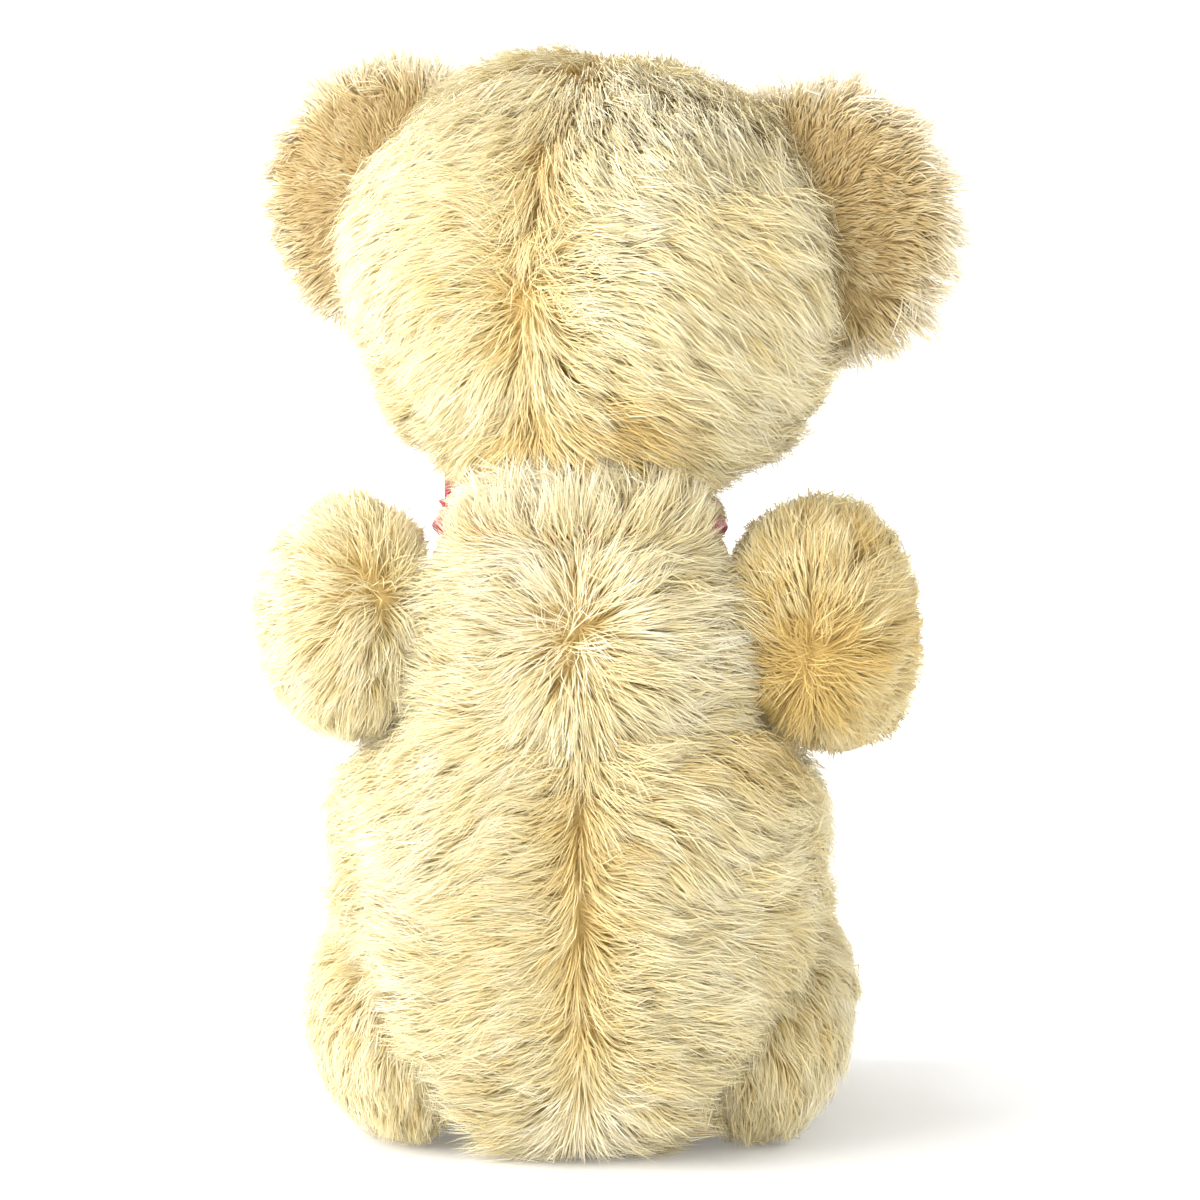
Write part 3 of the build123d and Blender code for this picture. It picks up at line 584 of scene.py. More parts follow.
@dataclass(frozen=True)
class Coat:
    """The pile of one cloth: tapered fibres in locks. Lengths in millimetres."""

    density: float = 4.6
    length: float = 9.5
    width: float = 0.22
    rise: float = 0.6
    stand: float = 0.42
    lock_area: float = 5.0
    pull: float = 0.4
    seed: int = 1
    stray: float = 0.16  # how far one fibre's way strays
    lock_stray: float = 0.22  # how far one lock's way strays
    uneven: float = 0.13  # spread of the fibres' lengths
    steepness: float = 0.25  # spread of their rise and stand
    sag: float = 0.07  # how far the tips hang, as a share of the length
    wave: float = 0.035  # how far their middles wander, as a share of the length

    def roots(self, patch: "Patch | EarPatch", flow: Flow, count: Optional[int],
              rng: np.random.Generator) -> tuple[Array, Array]:
        """Random places on a panel's backing, as many per area as the growth allows.

        Cells of a fine grid are drawn in proportion to their area times the growth's share, and
        each root lies at a random place in its cell.
        """
        fine = (170, 110)
        grid = patch.grid(*fine, COVER_DEPTH)
        a, b, c, d = corners(grid)
        cross = np.cross(c - a, d - b).reshape(-1, 3)
        area = np.linalg.norm(cross, axis=1) / 2
        lower = patch.grid(*fine, COVER_DEPTH + 1.0)
        outward = (grid - lower)[:-1, :-1].reshape(-1, 3)
        cross = cross * np.sign((cross * outward).sum())
        middle, normal = ((a + b + c + d) / 4).reshape(-1, 3), unit(cross)
        weight = area * np.clip(flow(middle).share, 0, 1)
        total = int(self.density * weight.sum()) if count is None else count
        edges = np.cumsum(weight) / weight.sum()
        cell = np.minimum(np.searchsorted(edges, rng.uniform(0, 1, total)), len(edges) - 1)
        x, y = rng.uniform(0, 1, (2, total, 1))
        low = a.reshape(-1, 3)[cell] * (1 - x) + b.reshape(-1, 3)[cell] * x
        high = d.reshape(-1, 3)[cell] * (1 - x) + c.reshape(-1, 3)[cell] * x
        return low * (1 - y) + high * y, normal[cell]

    def grow(self, cloth: Cloth, patch: "Patch | EarPatch", flow: Flow) -> None:
        """Adds the pile to a panel.

        Each fibre is a narrow ribbon on a quadratic curve: it leaves the backing steeply, bends
        over the way the pile lies, and its outer part is drawn towards the tip of its lock.

        Args:
            cloth: Where the triangles go.
            patch: The panel.
            flow: Gives the growth at places on it.
        """
        rng = np.random.default_rng(self.seed)
        root, normal = self.roots(patch, flow, None, rng)
        total = len(root)
        locks = max(int(total / self.density / self.lock_area), 8)
        lock_root, lock_normal = self.roots(patch, flow, locks, rng)
        lock_tip, lock_jitter = self.lock_tips(lock_root, lock_normal, flow, rng)
        owner = nearest(root, lock_root)
        growth = flow(root)
        lean = growth.way + 0.85 * lock_jitter[owner] + self.stray * rng.normal(size=(total, 3))
        way = along_skin(lean, normal)
        length = growth.length * self.length * (1 + self.uneven * rng.normal(size=total)).clip(0.55, 1.3)
        length *= self.lock_length(locks)[owner]
        rise = (self.rise * (1 + self.steepness * rng.normal(size=total))).clip(0.2, 0.95)
        stand = self.stand * (1 + self.steepness * rng.normal(size=total))
        stand = (stand + self.lock_stand(locks)[owner]).clip(0.06, 0.8)
        reach = length[:, None]
        bend = root + reach * (0.28 * way + rise[:, None] * normal * 0.8)
        tip = root + reach * (0.86 * way + stand[:, None] * normal) + reach * np.array([0, 0, -self.sag])
        tip = tip + (lock_tip[owner] - tip) * (self.pull * rng.uniform(0.4, 1.1, total))[:, None]
        wave = self.wave * reach * rng.normal(size=(total, 3))
        side = np.cross(normal, way)
        twist = rng.uniform(-0.9, 0.9, total)[:, None]
        side = unit(side * np.cos(twist) + normal * np.sin(twist))
        half = side * (0.75 + 0.5 * rng.uniform(size=total))[:, None] * self.width / 2
        middle = (root + 2 * bend + tip) / 4 + wave
        points = np.stack([root - half, root + half, middle - 0.85 * half, middle + 0.85 * half, tip], 1)
        points[..., 2] = np.maximum(points[..., 2], FLOOR_GAP)
        shade = growth.shade + self.lock_shade(locks)[owner] + 0.07 * rng.normal(size=total)
        self.add_ribbons(cloth, points, shade.clip(0.03, 0.97))

    def lock_shade(self, locks: int) -> Array:
        """Each lock's own shade."""
        return 0.09 * np.random.default_rng(self.seed + 7).normal(size=locks)

    def lock_length(self, locks: int) -> Array:
        """Each lock's own length, about one."""
        return (1 + 0.1 * np.random.default_rng(self.seed + 8).normal(size=locks)).clip(0.75, 1.2)

    def lock_stand(self, locks: int) -> Array:
        """How much further each lock stands off."""
        return 0.07 * np.random.default_rng(self.seed + 9).normal(size=locks)

    def lock_tips(self, root: Array, normal: Array, flow: Flow,
                  rng: np.random.Generator) -> tuple[Array, Array]:
        """Where each lock's tip comes to, and its own stray from the flow."""
        growth = flow(root)
        jitter = self.lock_stray * rng.normal(size=root.shape)
        way = along_skin(growth.way + jitter, normal)
        reach = (growth.length * self.length * self.lock_length(len(root)))[:, None]
        stand = (self.stand + self.lock_stand(len(root)))[:, None]
        return root + reach * (0.88 * way + stand * normal), jitter

    def add_ribbons(self, cloth: Cloth, points: Array, shade: Array) -> None:
        """Turns fibres of five points each into three triangles each."""
        total = len(points)
        pattern = np.array([[0, 3, 1], [0, 2, 3], [2, 4, 3]])
        faces = (np.arange(total)[:, None, None] * 5 + pattern).reshape(-1, 3)
        u = shade[:, None] + np.array([-1, 1, -1, 1, 0]) * 0.012
        v = np.broadcast_to(np.array([0.02, 0.02, 0.52, 0.52, 0.99]), u.shape)
        places = np.stack([u, v], -1)[:, pattern].reshape(-1, 3, 2)
        cloth.add(points.reshape(-1, 3), faces, places)


def along_skin(way: Array, normal: Array) -> Array:
    """Directions laid flat on the surface, of length one."""
    flat = way - (way * normal).sum(-1, keepdims=True) * normal
    return unit(flat + 1e-6)


def nearest(points: Array, targets: Array) -> Array:
    """The index of the nearest target for each point, worked out in blocks."""
    found = np.empty(len(points), np.int64)
    goal = targets.astype(np.float32)
    squares = (goal**2).sum(1)
    step = 4096
    for start in range(0, len(points), step):
        block = points[start:start + step].astype(np.float32)
        found[start:start + step] = (squares - 2 * block @ goal.T).argmin(1)
    return found


# ---------------------------------------------------------------------------------------------
# Shaders


def linear(code: str) -> Four:
    """A linear colour from a six-digit code."""
    parts = [int(code[k:k + 2], 16) / 255 for k in (0, 2, 4)]
    return (*[c / 12.92 if c <= 0.04045 else ((c + 0.055) / 1.055) ** 2.4 for c in parts], 1.0)


class Wire:
    """A shader socket whose arithmetic adds Math nodes."""

    def __init__(self, shader: "Shader", socket: bpy.types.NodeSocket) -> None:
        """Wraps a socket of the given shader."""
        self.shader, self.socket = shader, socket

    def math(self, operation: str, *others: "Wire | float") -> "Wire":
        """The result of one Math node on this value and others."""
        inputs = {k: v for k, v in enumerate((self, *others))}
        return self.shader.node("ShaderNodeMath", {"operation": operation}, inputs)

    def __add__(self, other: "Wire | float") -> "Wire":
        """Sum."""
        return self.math("ADD", other)

    __radd__ = __add__

    def __mul__(self, other: "Wire | float") -> "Wire":
        """Product."""
        return self.math("MULTIPLY", other)

    __rmul__ = __mul__

    def __sub__(self, other: "Wire | float") -> "Wire":
        """Difference."""
        return self.math("SUBTRACT", other)

    def __rsub__(self, other: float) -> "Wire":
        """A number less this value."""
        return self.shader.node("ShaderNodeMath", {"operation": "SUBTRACT"}, {0: other, 1: self})

    def sine(self) -> "Wire":
        """Sine of a value in radians."""
        return self.math("SINE")

    def between(self, low: float, high: float) -> "Wire":
        """An S curve from 0 at low to 1 at high."""
        return self.shader.node(
            "ShaderNodeMapRange", {"interpolation_type": "SMOOTHSTEP"},
            {"Value": self, "From Min": low, "From Max": high}, "Result",
        )


class Shader:
    """One material's node tree, with its Principled shader."""

    def __init__(self, name: str) -> None:
        """Starts a material with the standard shader and output."""
        self.made = bpy.data.materials.new(name)
        self.made.use_nodes = True
        self.tree = self.made.node_tree
        self.surface = self.tree.nodes["Principled BSDF"]

    def node(self, kind: str, settings: Optional[dict] = None, inputs: Optional[dict] = None,
             output: "str | int" = 0) -> Wire:
        """Adds a node.

        Args:
            kind: The node's type.
            settings: Its properties, or "ramp" with (place, colour) stops.
            inputs: Values or wires by socket name or number.
            output: Which output the wire starts from.

        Returns:
            The wire from that output.
        """
        made = self.tree.nodes.new(kind)
        for key, value in (settings or {}).items():
            if key == "ramp":
                ramp = made.color_ramp
                while len(ramp.elements) < len(value):
                    ramp.elements.new(0.5)
                for element, (place, colour) in zip(ramp.elements, value):
                    element.position, element.color = place, colour
            else:
                setattr(made, key, value)
        for key, value in (inputs or {}).items():
            self.plug(made.inputs[key], value)
        return Wire(self, made.outputs[output])

    def plug(self, socket: bpy.types.NodeSocket, value: "Wire | float | tuple") -> None:
        """Links a wire to a socket, or sets its value."""
        if isinstance(value, Wire):
            self.tree.links.new(value.socket, socket)
        else:
            socket.default_value = value

    def mix(self, factor: "Wire | float", first: "Wire | tuple", second: "Wire | tuple") -> Wire:
        """A colour between two."""
        made = self.tree.nodes.new("ShaderNodeMix")
        made.data_type = "RGBA"
        for index, value in ((0, factor), (6, first), (7, second)):
            self.plug(made.inputs[index], value)
        return Wire(self, made.outputs[2])

    def object_place(self, scale: Triple = (1, 1, 1)) -> Wire:
        """Object coordinates, scaled."""
        place = self.node("ShaderNodeTexCoord", output="Object")
        return self.node("ShaderNodeMapping", inputs={"Vector": place, "Scale": scale})

    def noise(self, place: Wire, scale: float, detail: float = 3.0, roughness: float = 0.55) -> Wire:
        """Cloud noise from 0 to 1."""
        return self.node("ShaderNodeTexNoise", inputs={
            "Vector": place, "Scale": scale, "Detail": detail, "Roughness": roughness})

    def texture_place(self) -> tuple[Wire, Wire]:
        """The piece's own texture places, across and along."""
        place = self.node("ShaderNodeUVMap", {"uv_map": UV_NAME})
        return (self.node("ShaderNodeSeparateXYZ", inputs={0: place}, output=0),
                self.node("ShaderNodeSeparateXYZ", inputs={0: place}, output=1))

    def bump(self, height: Wire, distance: float, strength: float) -> Wire:
        """A bumped normal."""
        return self.node("ShaderNodeBump", inputs={
            "Height": height, "Distance": distance, "Strength": strength})

    def finish(self, **values: "Wire | float | tuple") -> bpy.types.Material:
        """Sets the standard shader's sockets, by name with underscores for spaces."""
        for key, value in values.items():
            self.plug(self.surface.inputs[key.replace("_", " ")], value)
        return self.made


@dataclass(frozen=True)
class Finish:
    """A material of two tones, made once and shared."""

    name: str
    light: str = "FFFFFF"
    deep: str = "000000"

    def tone(self, shader: Shader, factor: Wire) -> Wire:
        """A colour between the deep tone at 0 and the light one at 1."""
        return shader.mix(factor, linear(self.deep), linear(self.light))

    def material(self) -> bpy.types.Material:
        """The finish's material, made on first use."""
        name = f"{self.name}_finish"
        return bpy.data.materials.get(name) or self.make(Shader(name))

    def make(self, shader: Shader) -> bpy.types.Material:
        """Builds the nodes."""
        raise NotImplementedError


@dataclass(frozen=True)
class Mohair(Finish):
    """Mohair pile: golden at the root, cream at the tip, in shades across the texture."""

    root: str = "D3B570"
    middle: str = "EEDB9E"
    tip: str = "FAF2CE"
    dark: str = "E0C176"
    pale: str = "FFFCEC"

    def make(self, shader: Shader) -> bpy.types.Material:
        """Colour runs from root to tip with the texture's height and from dark to pale across it."""
        shade, along = shader.texture_place()
        ramp = ((0.0, linear(self.root)), (0.42, linear(self.middle)), (1.0, linear(self.tip)))
        base = shader.node("ShaderNodeValToRGB", {"ramp": ramp}, {0: along})
        # The shade across the texture carries the flows' painted light and shade as well as the locks' own
        # tone; sunlit mixes in the pale tone where it is high.
        warm = shader.mix(1 - shade.between(0.0, 0.5), base, linear(self.dark))
        sunlit = 0.75 * shade.between(0.45, 1.0) * along.between(0.1, 0.8)
        colour = shader.mix(sunlit, warm, linear(self.pale))
        return shader.finish(
            Base_Color=colour, Roughness=0.5, Sheen_Weight=0.25, Sheen_Roughness=0.4,
            Specular_IOR_Level=0.35,
        )


@dataclass(frozen=True)
class Felt(Finish):
    """Wool felt: matted fibres, slightly worn."""

    light: str = "D9BE8E"
    deep: str = "B8955F"

    def make(self, shader: Shader) -> bpy.types.Material:
        """Fine and coarse noise mix two tones; fibres stretched two ways make the bump."""
        place = shader.object_place()
        cloud = shader.noise(place, 160.0)
        fibre = shader.noise(shader.object_place((1, 6, 1)), 900.0, 2.0)
        cross = shader.noise(shader.object_place((6, 1, 2)), 900.0, 2.0)
        matted = fibre * 0.5 + cross * 0.5
        colour = self.tone(shader, (cloud * 0.6 + matted * 0.4).between(0.3, 0.7))
        return shader.finish(
            Base_Color=colour, Roughness=0.78 + 0.2 * matted, Sheen_Weight=0.4,
            Normal=shader.bump(matted, 0.0004, 0.7), Specular_IOR_Level=0.2,
        )


@dataclass(frozen=True)
class Thread(Finish):
    """Twisted embroidery cotton."""

    light: str = "5A3A26"
    deep: str = "2B1A10"

    def make(self, shader: Shader) -> bpy.types.Material:
        """Slanting sine stripes across the texture are the thread's plies."""
        along, around = shader.texture_place()
        plies = (along * 190.0 + around * 12.566).sine() * 0.5 + 0.5
        colour = self.tone(shader, plies)
        return shader.finish(
            Base_Color=colour, Roughness=0.5 + 0.2 * plies,
            Normal=shader.bump(plies, 0.0002, 0.6), Sheen_Weight=0.2,
        )


@dataclass(frozen=True)
class Satin(Finish):
    """Satin ribbon with a fine rib across and a woven edge."""

    light: str = "D8345A"
    deep: str = "A61E42"

    def make(self, shader: Shader) -> bpy.types.Material:
        """Sine ribs along the texture and a darker band at both edges."""
        along, across = shader.texture_place()
        ribs = (along * 900.0).sine() * 0.5 + 0.5
        middle = across.math("PINGPONG", 0.5)
        edge = 1 - middle.between(0.0, 0.06)
        cloud = shader.noise(shader.object_place(), 90.0)
        colour = self.tone(shader, (0.35 * ribs + 0.65 * cloud) - 0.35 * edge)
        return shader.finish(
            Base_Color=colour, Roughness=0.3 + 0.14 * ribs + 0.2 * edge,
            Normal=shader.bump(ribs + 2.0 * edge, 0.00012, 0.4), Sheen_Weight=0.2, Anisotropic=0.4,
        )


@dataclass(frozen=True)
class Wool(Finish):
    """Wood wool and cotton stuffing."""

    light: str = "EFE6D2"
    deep: str = "C9B48C"

    def make(self, shader: Shader) -> bpy.types.Material:
        """Noise at two sizes, stretched into strands by a warped place."""
        place = shader.object_place()
        warp = shader.node("ShaderNodeTexNoise", {}, {"Vector": place, "Scale": 60.0}, "Color")
        bent = shader.node("ShaderNodeVectorMath", {"operation": "ADD"}, {0: place, 1: warp})
        strands = shader.noise(bent, 140.0, 5.0, 0.7)
        colour = self.tone(shader, strands.between(0.35, 0.65))
        return shader.finish(
            Base_Color=colour, Roughness=0.85 + 0.1 * strands,
            Normal=shader.bump(strands, 0.002, 0.9), Specular_IOR_Level=0.2,
        )


@dataclass(frozen=True)
class Glass(Finish):
    """A dark brown glass eye with a black pupil, seen as one deep gloss."""

    light: str = "2A1206"
    deep: str = "050302"

    def make(self, shader: Shader) -> bpy.types.Material:
        """Slow noise lets a little brown through the black; the coat is clear."""
        cloud = shader.noise(shader.object_place(), 130.0, 2.0)
        colour = self.tone(shader, cloud.between(0.4, 0.75))
        return shader.finish(
            Base_Color=colour, Roughness=0.05 + 0.05 * cloud, Coat_Weight=1.0, Coat_Roughness=0.02,
            IOR=1.52,
        )


@dataclass(frozen=True)
class Hardboard(Finish):
    """Pressed wood fibre: brown and speckled."""

    light: str = "9A6B3F"
    deep: str = "4E3019"
    scale: float = 420.0

    def make(self, shader: Shader) -> bpy.types.Material:
        """Two noises, one stretched into fibres, between two browns."""
        speck = shader.noise(shader.object_place(), self.scale, 4.0, 0.7)
        fibre = shader.noise(shader.object_place((1, 9, 3)), self.scale, 2.0)
        colour = self.tone(shader, (speck * 0.55 + fibre * 0.45).between(0.36, 0.62))
        return shader.finish(
            Base_Color=colour, Roughness=0.6 + 0.3 * speck,
            Normal=shader.bump(fibre, 0.0003, 0.6),
        )


@dataclass(frozen=True)
class Steel(Finish):
    """Drawn or stamped steel with fine scratches and a little tarnish."""

    light: str = "C9CACC"
    deep: str = "77726B"
    stretch: Triple = (1, 14, 1)

    def make(self, shader: Shader) -> bpy.types.Material:
        """Stretched noise scratches the roughness; slow noise tarnishes the colour."""
        scratch = shader.noise(shader.object_place(self.stretch), 1500.0, 3.0)
        tarnish = shader.noise(shader.object_place(), 260.0, 3.0)
        colour = self.tone(shader, tarnish.between(0.3, 0.62))
        return shader.finish(
            Base_Color=colour, Metallic=1.0, Roughness=0.22 + 0.28 * scratch,
            Normal=shader.bump(scratch, 0.00005, 0.5),
        )


PLUSH = Mohair("mohair_plush")
# a darker copy of the body's mohair: partly painted shade for the cupped ears
EAR_PLUSH = Mohair("ear_plush", root="A08450", middle="D0B882", tip="ECDFB6", dark="C2A66E", pale="FFFBEA")
FELT = Felt("paw_felt")
FACE_THREAD = Thread("face_thread")
CLAW_THREAD = Thread("claw_thread", light="6B472E", deep="38220F")
RIBBON_SATIN = Satin("ribbon_satin")
STUFFING = Wool("stuffing")
EYE_GLASS = Glass("eye_glass")
HARDBOARD = Hardboard("hardboard")
CARD = Hardboard("sole_card", light="B79A70", deep="8C6F4A", scale=700.0)
WASHER_STEEL = Steel("washer_steel")
PIN_STEEL = Steel("pin_steel", light="B5B6B8", deep="6B655C", stretch=(14, 1, 1))


# ---------------------------------------------------------------------------------------------
# Sub-assemblies


def band(low: float, high: float) -> dict[str, Edge]:
    """The two edges of a panel that keeps the same angles all along."""
    return {
        "low": lambda share: np.full(share.shape, low),
        "high": lambda share: np.full(share.shape, high),
    }


# the angles of a form's two halves: the one towards its own X, and the other
HALVES = ((-QUARTER_TURN, QUARTER_TURN), (QUARTER_TURN, 3 * QUARTER_TURN))
ROOM_SLOPE = 6.0  # how steep the walls are of a joint's room in the stuffing
TORSO_ROOM, LIMB_ROOM = 8.6, 12.4  # depths of that room in the torso, and in a limb or the head
NECK_ROOM = 15.5  # radius of the neck's rooms


def plush_panel(name: str, patch: "Patch | EarPatch", coat: Coat, flow: Flow, body: str, node: str,
                finish: Mohair = PLUSH, slot: str = "mohair_plush") -> None:
    """One panel of plush: its woven backing and the pile on it, in place of its CAD node.

    Args:
        name: The new piece's name.
        patch: The panel's surface.
        coat: Its pile.
        flow: How the pile grows.
        body: The body that carries it.
        node: The CAD node that it stands for.
        finish: The plush's finish.
        slot: The record's material slot.
    """
    cloth, coarse = Cloth(), (56, 32)
    cloth.shell(patch.grid(*coarse, COVER_DEPTH), patch.grid(*coarse, COVER_DEPTH + BACKING))
    coat.grow(cloth, patch, flow)
    piece = cloth.make(name, finish, body, slot)
    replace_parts(piece, node)


def stuffing_piece(form: Form, body: str, seed: int) -> None:
    """The lumpy filling inside one body, in place of its CAD node."""
    cloth, inside = Cloth(), COVER_DEPTH + 1.9
    cloth.skin(Patch(form, lumps=0.9, seed=seed).grid(90, 73, inside))
    piece = cloth.make(f"{body}_filling", STUFFING, body, "stuffing")
    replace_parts(piece, f"{body}_stuffing")


@dataclass
class Torso:
    """The torso: two plush halves on a pear-shaped form, hollowed where the limbs turn."""

    stations: tuple[Four, ...] = (
        (50.0, 43.5, 37.5, 0), (64.0, 42.5, 36.5, 0), (71.5, 39.0, 34.0, 0), (77.0, 34.5, 31.6, 0),
        (84.0, 33.0, 31.0, 0), (92.0, 32.0, 30.0, 0), (102.0, 30.5, 28.0, 0), (113.0, 26.5, 23.0, 0),
    )
    belly_drop: float = 53.0
    neck_dome: float = 12.0
    neck_height: float = 121.0
    whorls: tuple[Four, ...] = ((1.5, 96.0, 21.0, 0.85), (0.5, 27.0, 10.0, 0.5))  # X, Z, size, strength
    back_band: Pair = (-4.0, 8.0)  # Y over which the front's pile becomes the back's
    collar: Pair = (106.0, 114.0)  # heights over which the pile becomes the collar
    ribbon_edge: Pair = (103.0, 109.0)  # heights over which the ribbon presses it
    ribbon_press: float = 0.72
    golden_seam: Pair = (18.0, 80.0)  # heights between which the back seam's parting is painted golden: painted shade
    under_arm: float = 73.0  # height of the painted shade beneath the right arm

    def form(self, pockets: tuple[Pocket, ...]) -> Form:
        """The torso's form with its flats; nothing hangs below it or stands above the neck."""
        upright = Place(np.eye(3), np.zeros(3))
        return Form(self.stations, self.belly_drop, self.neck_dome, upright, (0, 1, 2),
                    pockets=pockets, floor=1.0, ceiling=self.neck_height - 0.3)

    def pressed(self, points: Array) -> Array:
        """One where the neck or a limb presses the plush thin."""
        found = smooth(points[..., 2], 108, 117)
        for limb in (*ARMS.values(), *LEGS.values()):
            local = limb.seat().into(points)
            beside = limb.over_disc(local) * smooth(local[..., 0], -14, -8)
            found = np.maximum(found, beside)
        return found

    def hollows(self, limbs: "list[Limb]") -> tuple[Pocket, ...]:
        """The flats that the four limbs press into the flanks."""
        return tuple(limb.hollow() for limb in limbs)

    def flow(self, points: Array) -> Growth:
        """Pile lies away from the back and front seams, and round two whorls on the back.

        Near a whorl the way is straight out from its middle; elsewhere it is sideways away
        from the seam and a little down. It is left out under the seat, on top of the neck and
        where a limb's face covers the flank, and it is short under the ribbon.
        """
        x, y, z = points.T
        side = np.tanh(x / SEAM_HALF)
        back = smooth(y, *self.back_band)
        front = 1 - back
        fall = 0.12 + 0.25 * smooth(50 - z, 0, 40) * front + 0.7 * (1 - side**2)
        way = np.stack([side, 0 * x, -fall], -1)
        for wx, wz, size, strength in self.whorls:
            off = np.stack([x - wx, 0 * x, z - wz], -1)
            near = np.exp(-((off**2).sum(-1)) / size**2) * back * strength
            way = way * (1 - near.clip(0, 0.95))[:, None] + fan_out(off, 3.0) * near[:, None]
        way = way + np.array([0, 0, -0.9]) * front[:, None]
        way[:, 2] += 0.3 * ripple(points, 34.0, 11)
        collar = smooth(z, *self.collar)
        upward = np.array([0, 0, 1]) * (0.9 * back - 0.4 * front)[:, None]
        outward = unit(np.stack([x, y, 0 * x], -1)) * 0.6 + upward
        way = way * (1 - 0.8 * collar)[:, None] + outward * (1.2 * collar)[:, None]
        length = 1 + 0.1 * ripple(points, 22.0, 5) + 0.16 * smooth(z, 78, 92) * back
        length = length * (1 - self.ribbon_press * smooth(z, *self.ribbon_edge) * (1 - smooth(y, 8, 18)))
        seam = bell(x, 4.0) * back
        # Painted light: the bear's left, toward the key lamp, and the upper back are painted paler; the
        # ripple is the cloth's own uneven tone.
        shade = 0.55 + 0.1 * ripple(points, 28.0, 3) + 0.03 * x / 40 + 0.1 * smooth(z, 82, 100) * back
        # Painted shade: the back seam's parting is painted golden between the given heights.
        low, high = self.golden_seam
        gold = seam * smooth(high - z, 0, 14) * smooth(z - low, 0, 14)
        shade = shade - 0.27 * gold + 0.22 * seam * smooth(24 - z, 0, 8)
        # Painted shade: darker beneath the right arm, on the side away from the key lamp.
        shade = shade - 0.28 * bell(z - self.under_arm, 5.0) * back * smooth(-x, 4, 14) * 0.8
        parting = np.hypot(x - self.whorls[0][0], z - self.whorls[0][1])
        shade = shade + 0.2 * bell(parting, 8.0) * back
        share = smooth(z, 1.2, 2.2) * smooth(120.6 - z, 0, 0.3)
        for name in ("left", "right"):
            for limb in (ARMS[name], LEGS[name]):
                share = share * limb.clear_of_joint(points)
        return Growth(way, length, shade, share)

    def build(self, limbs: "list[Limb]") -> None:
        """Makes both halves and the stuffing."""
        form = self.form(self.hollows(limbs))
        form.pressed = self.pressed
        for side, angles in zip(Side, HALVES):
            patch = Patch(form, seed=4, **band(*angles))
            coat = Coat(density=5.2, length=9.9, seed=21 + side.value)
            plush_panel(f"torso_{side.word}_plush", patch, coat, self.flow, "torso",
                        f"torso_{side.word}_cover")
        rooms = tuple(limb.room() for limb in limbs)
        upward = Place(turn_about("Y", -90), np.array([0, 0, self.neck_height]))
        neck = Pocket(upward, TORSO_ROOM, NECK_ROOM, slope=ROOM_SLOPE)
        stuffing_piece(self.form(self.hollows(limbs) + rooms + (neck,)), "torso", 31)


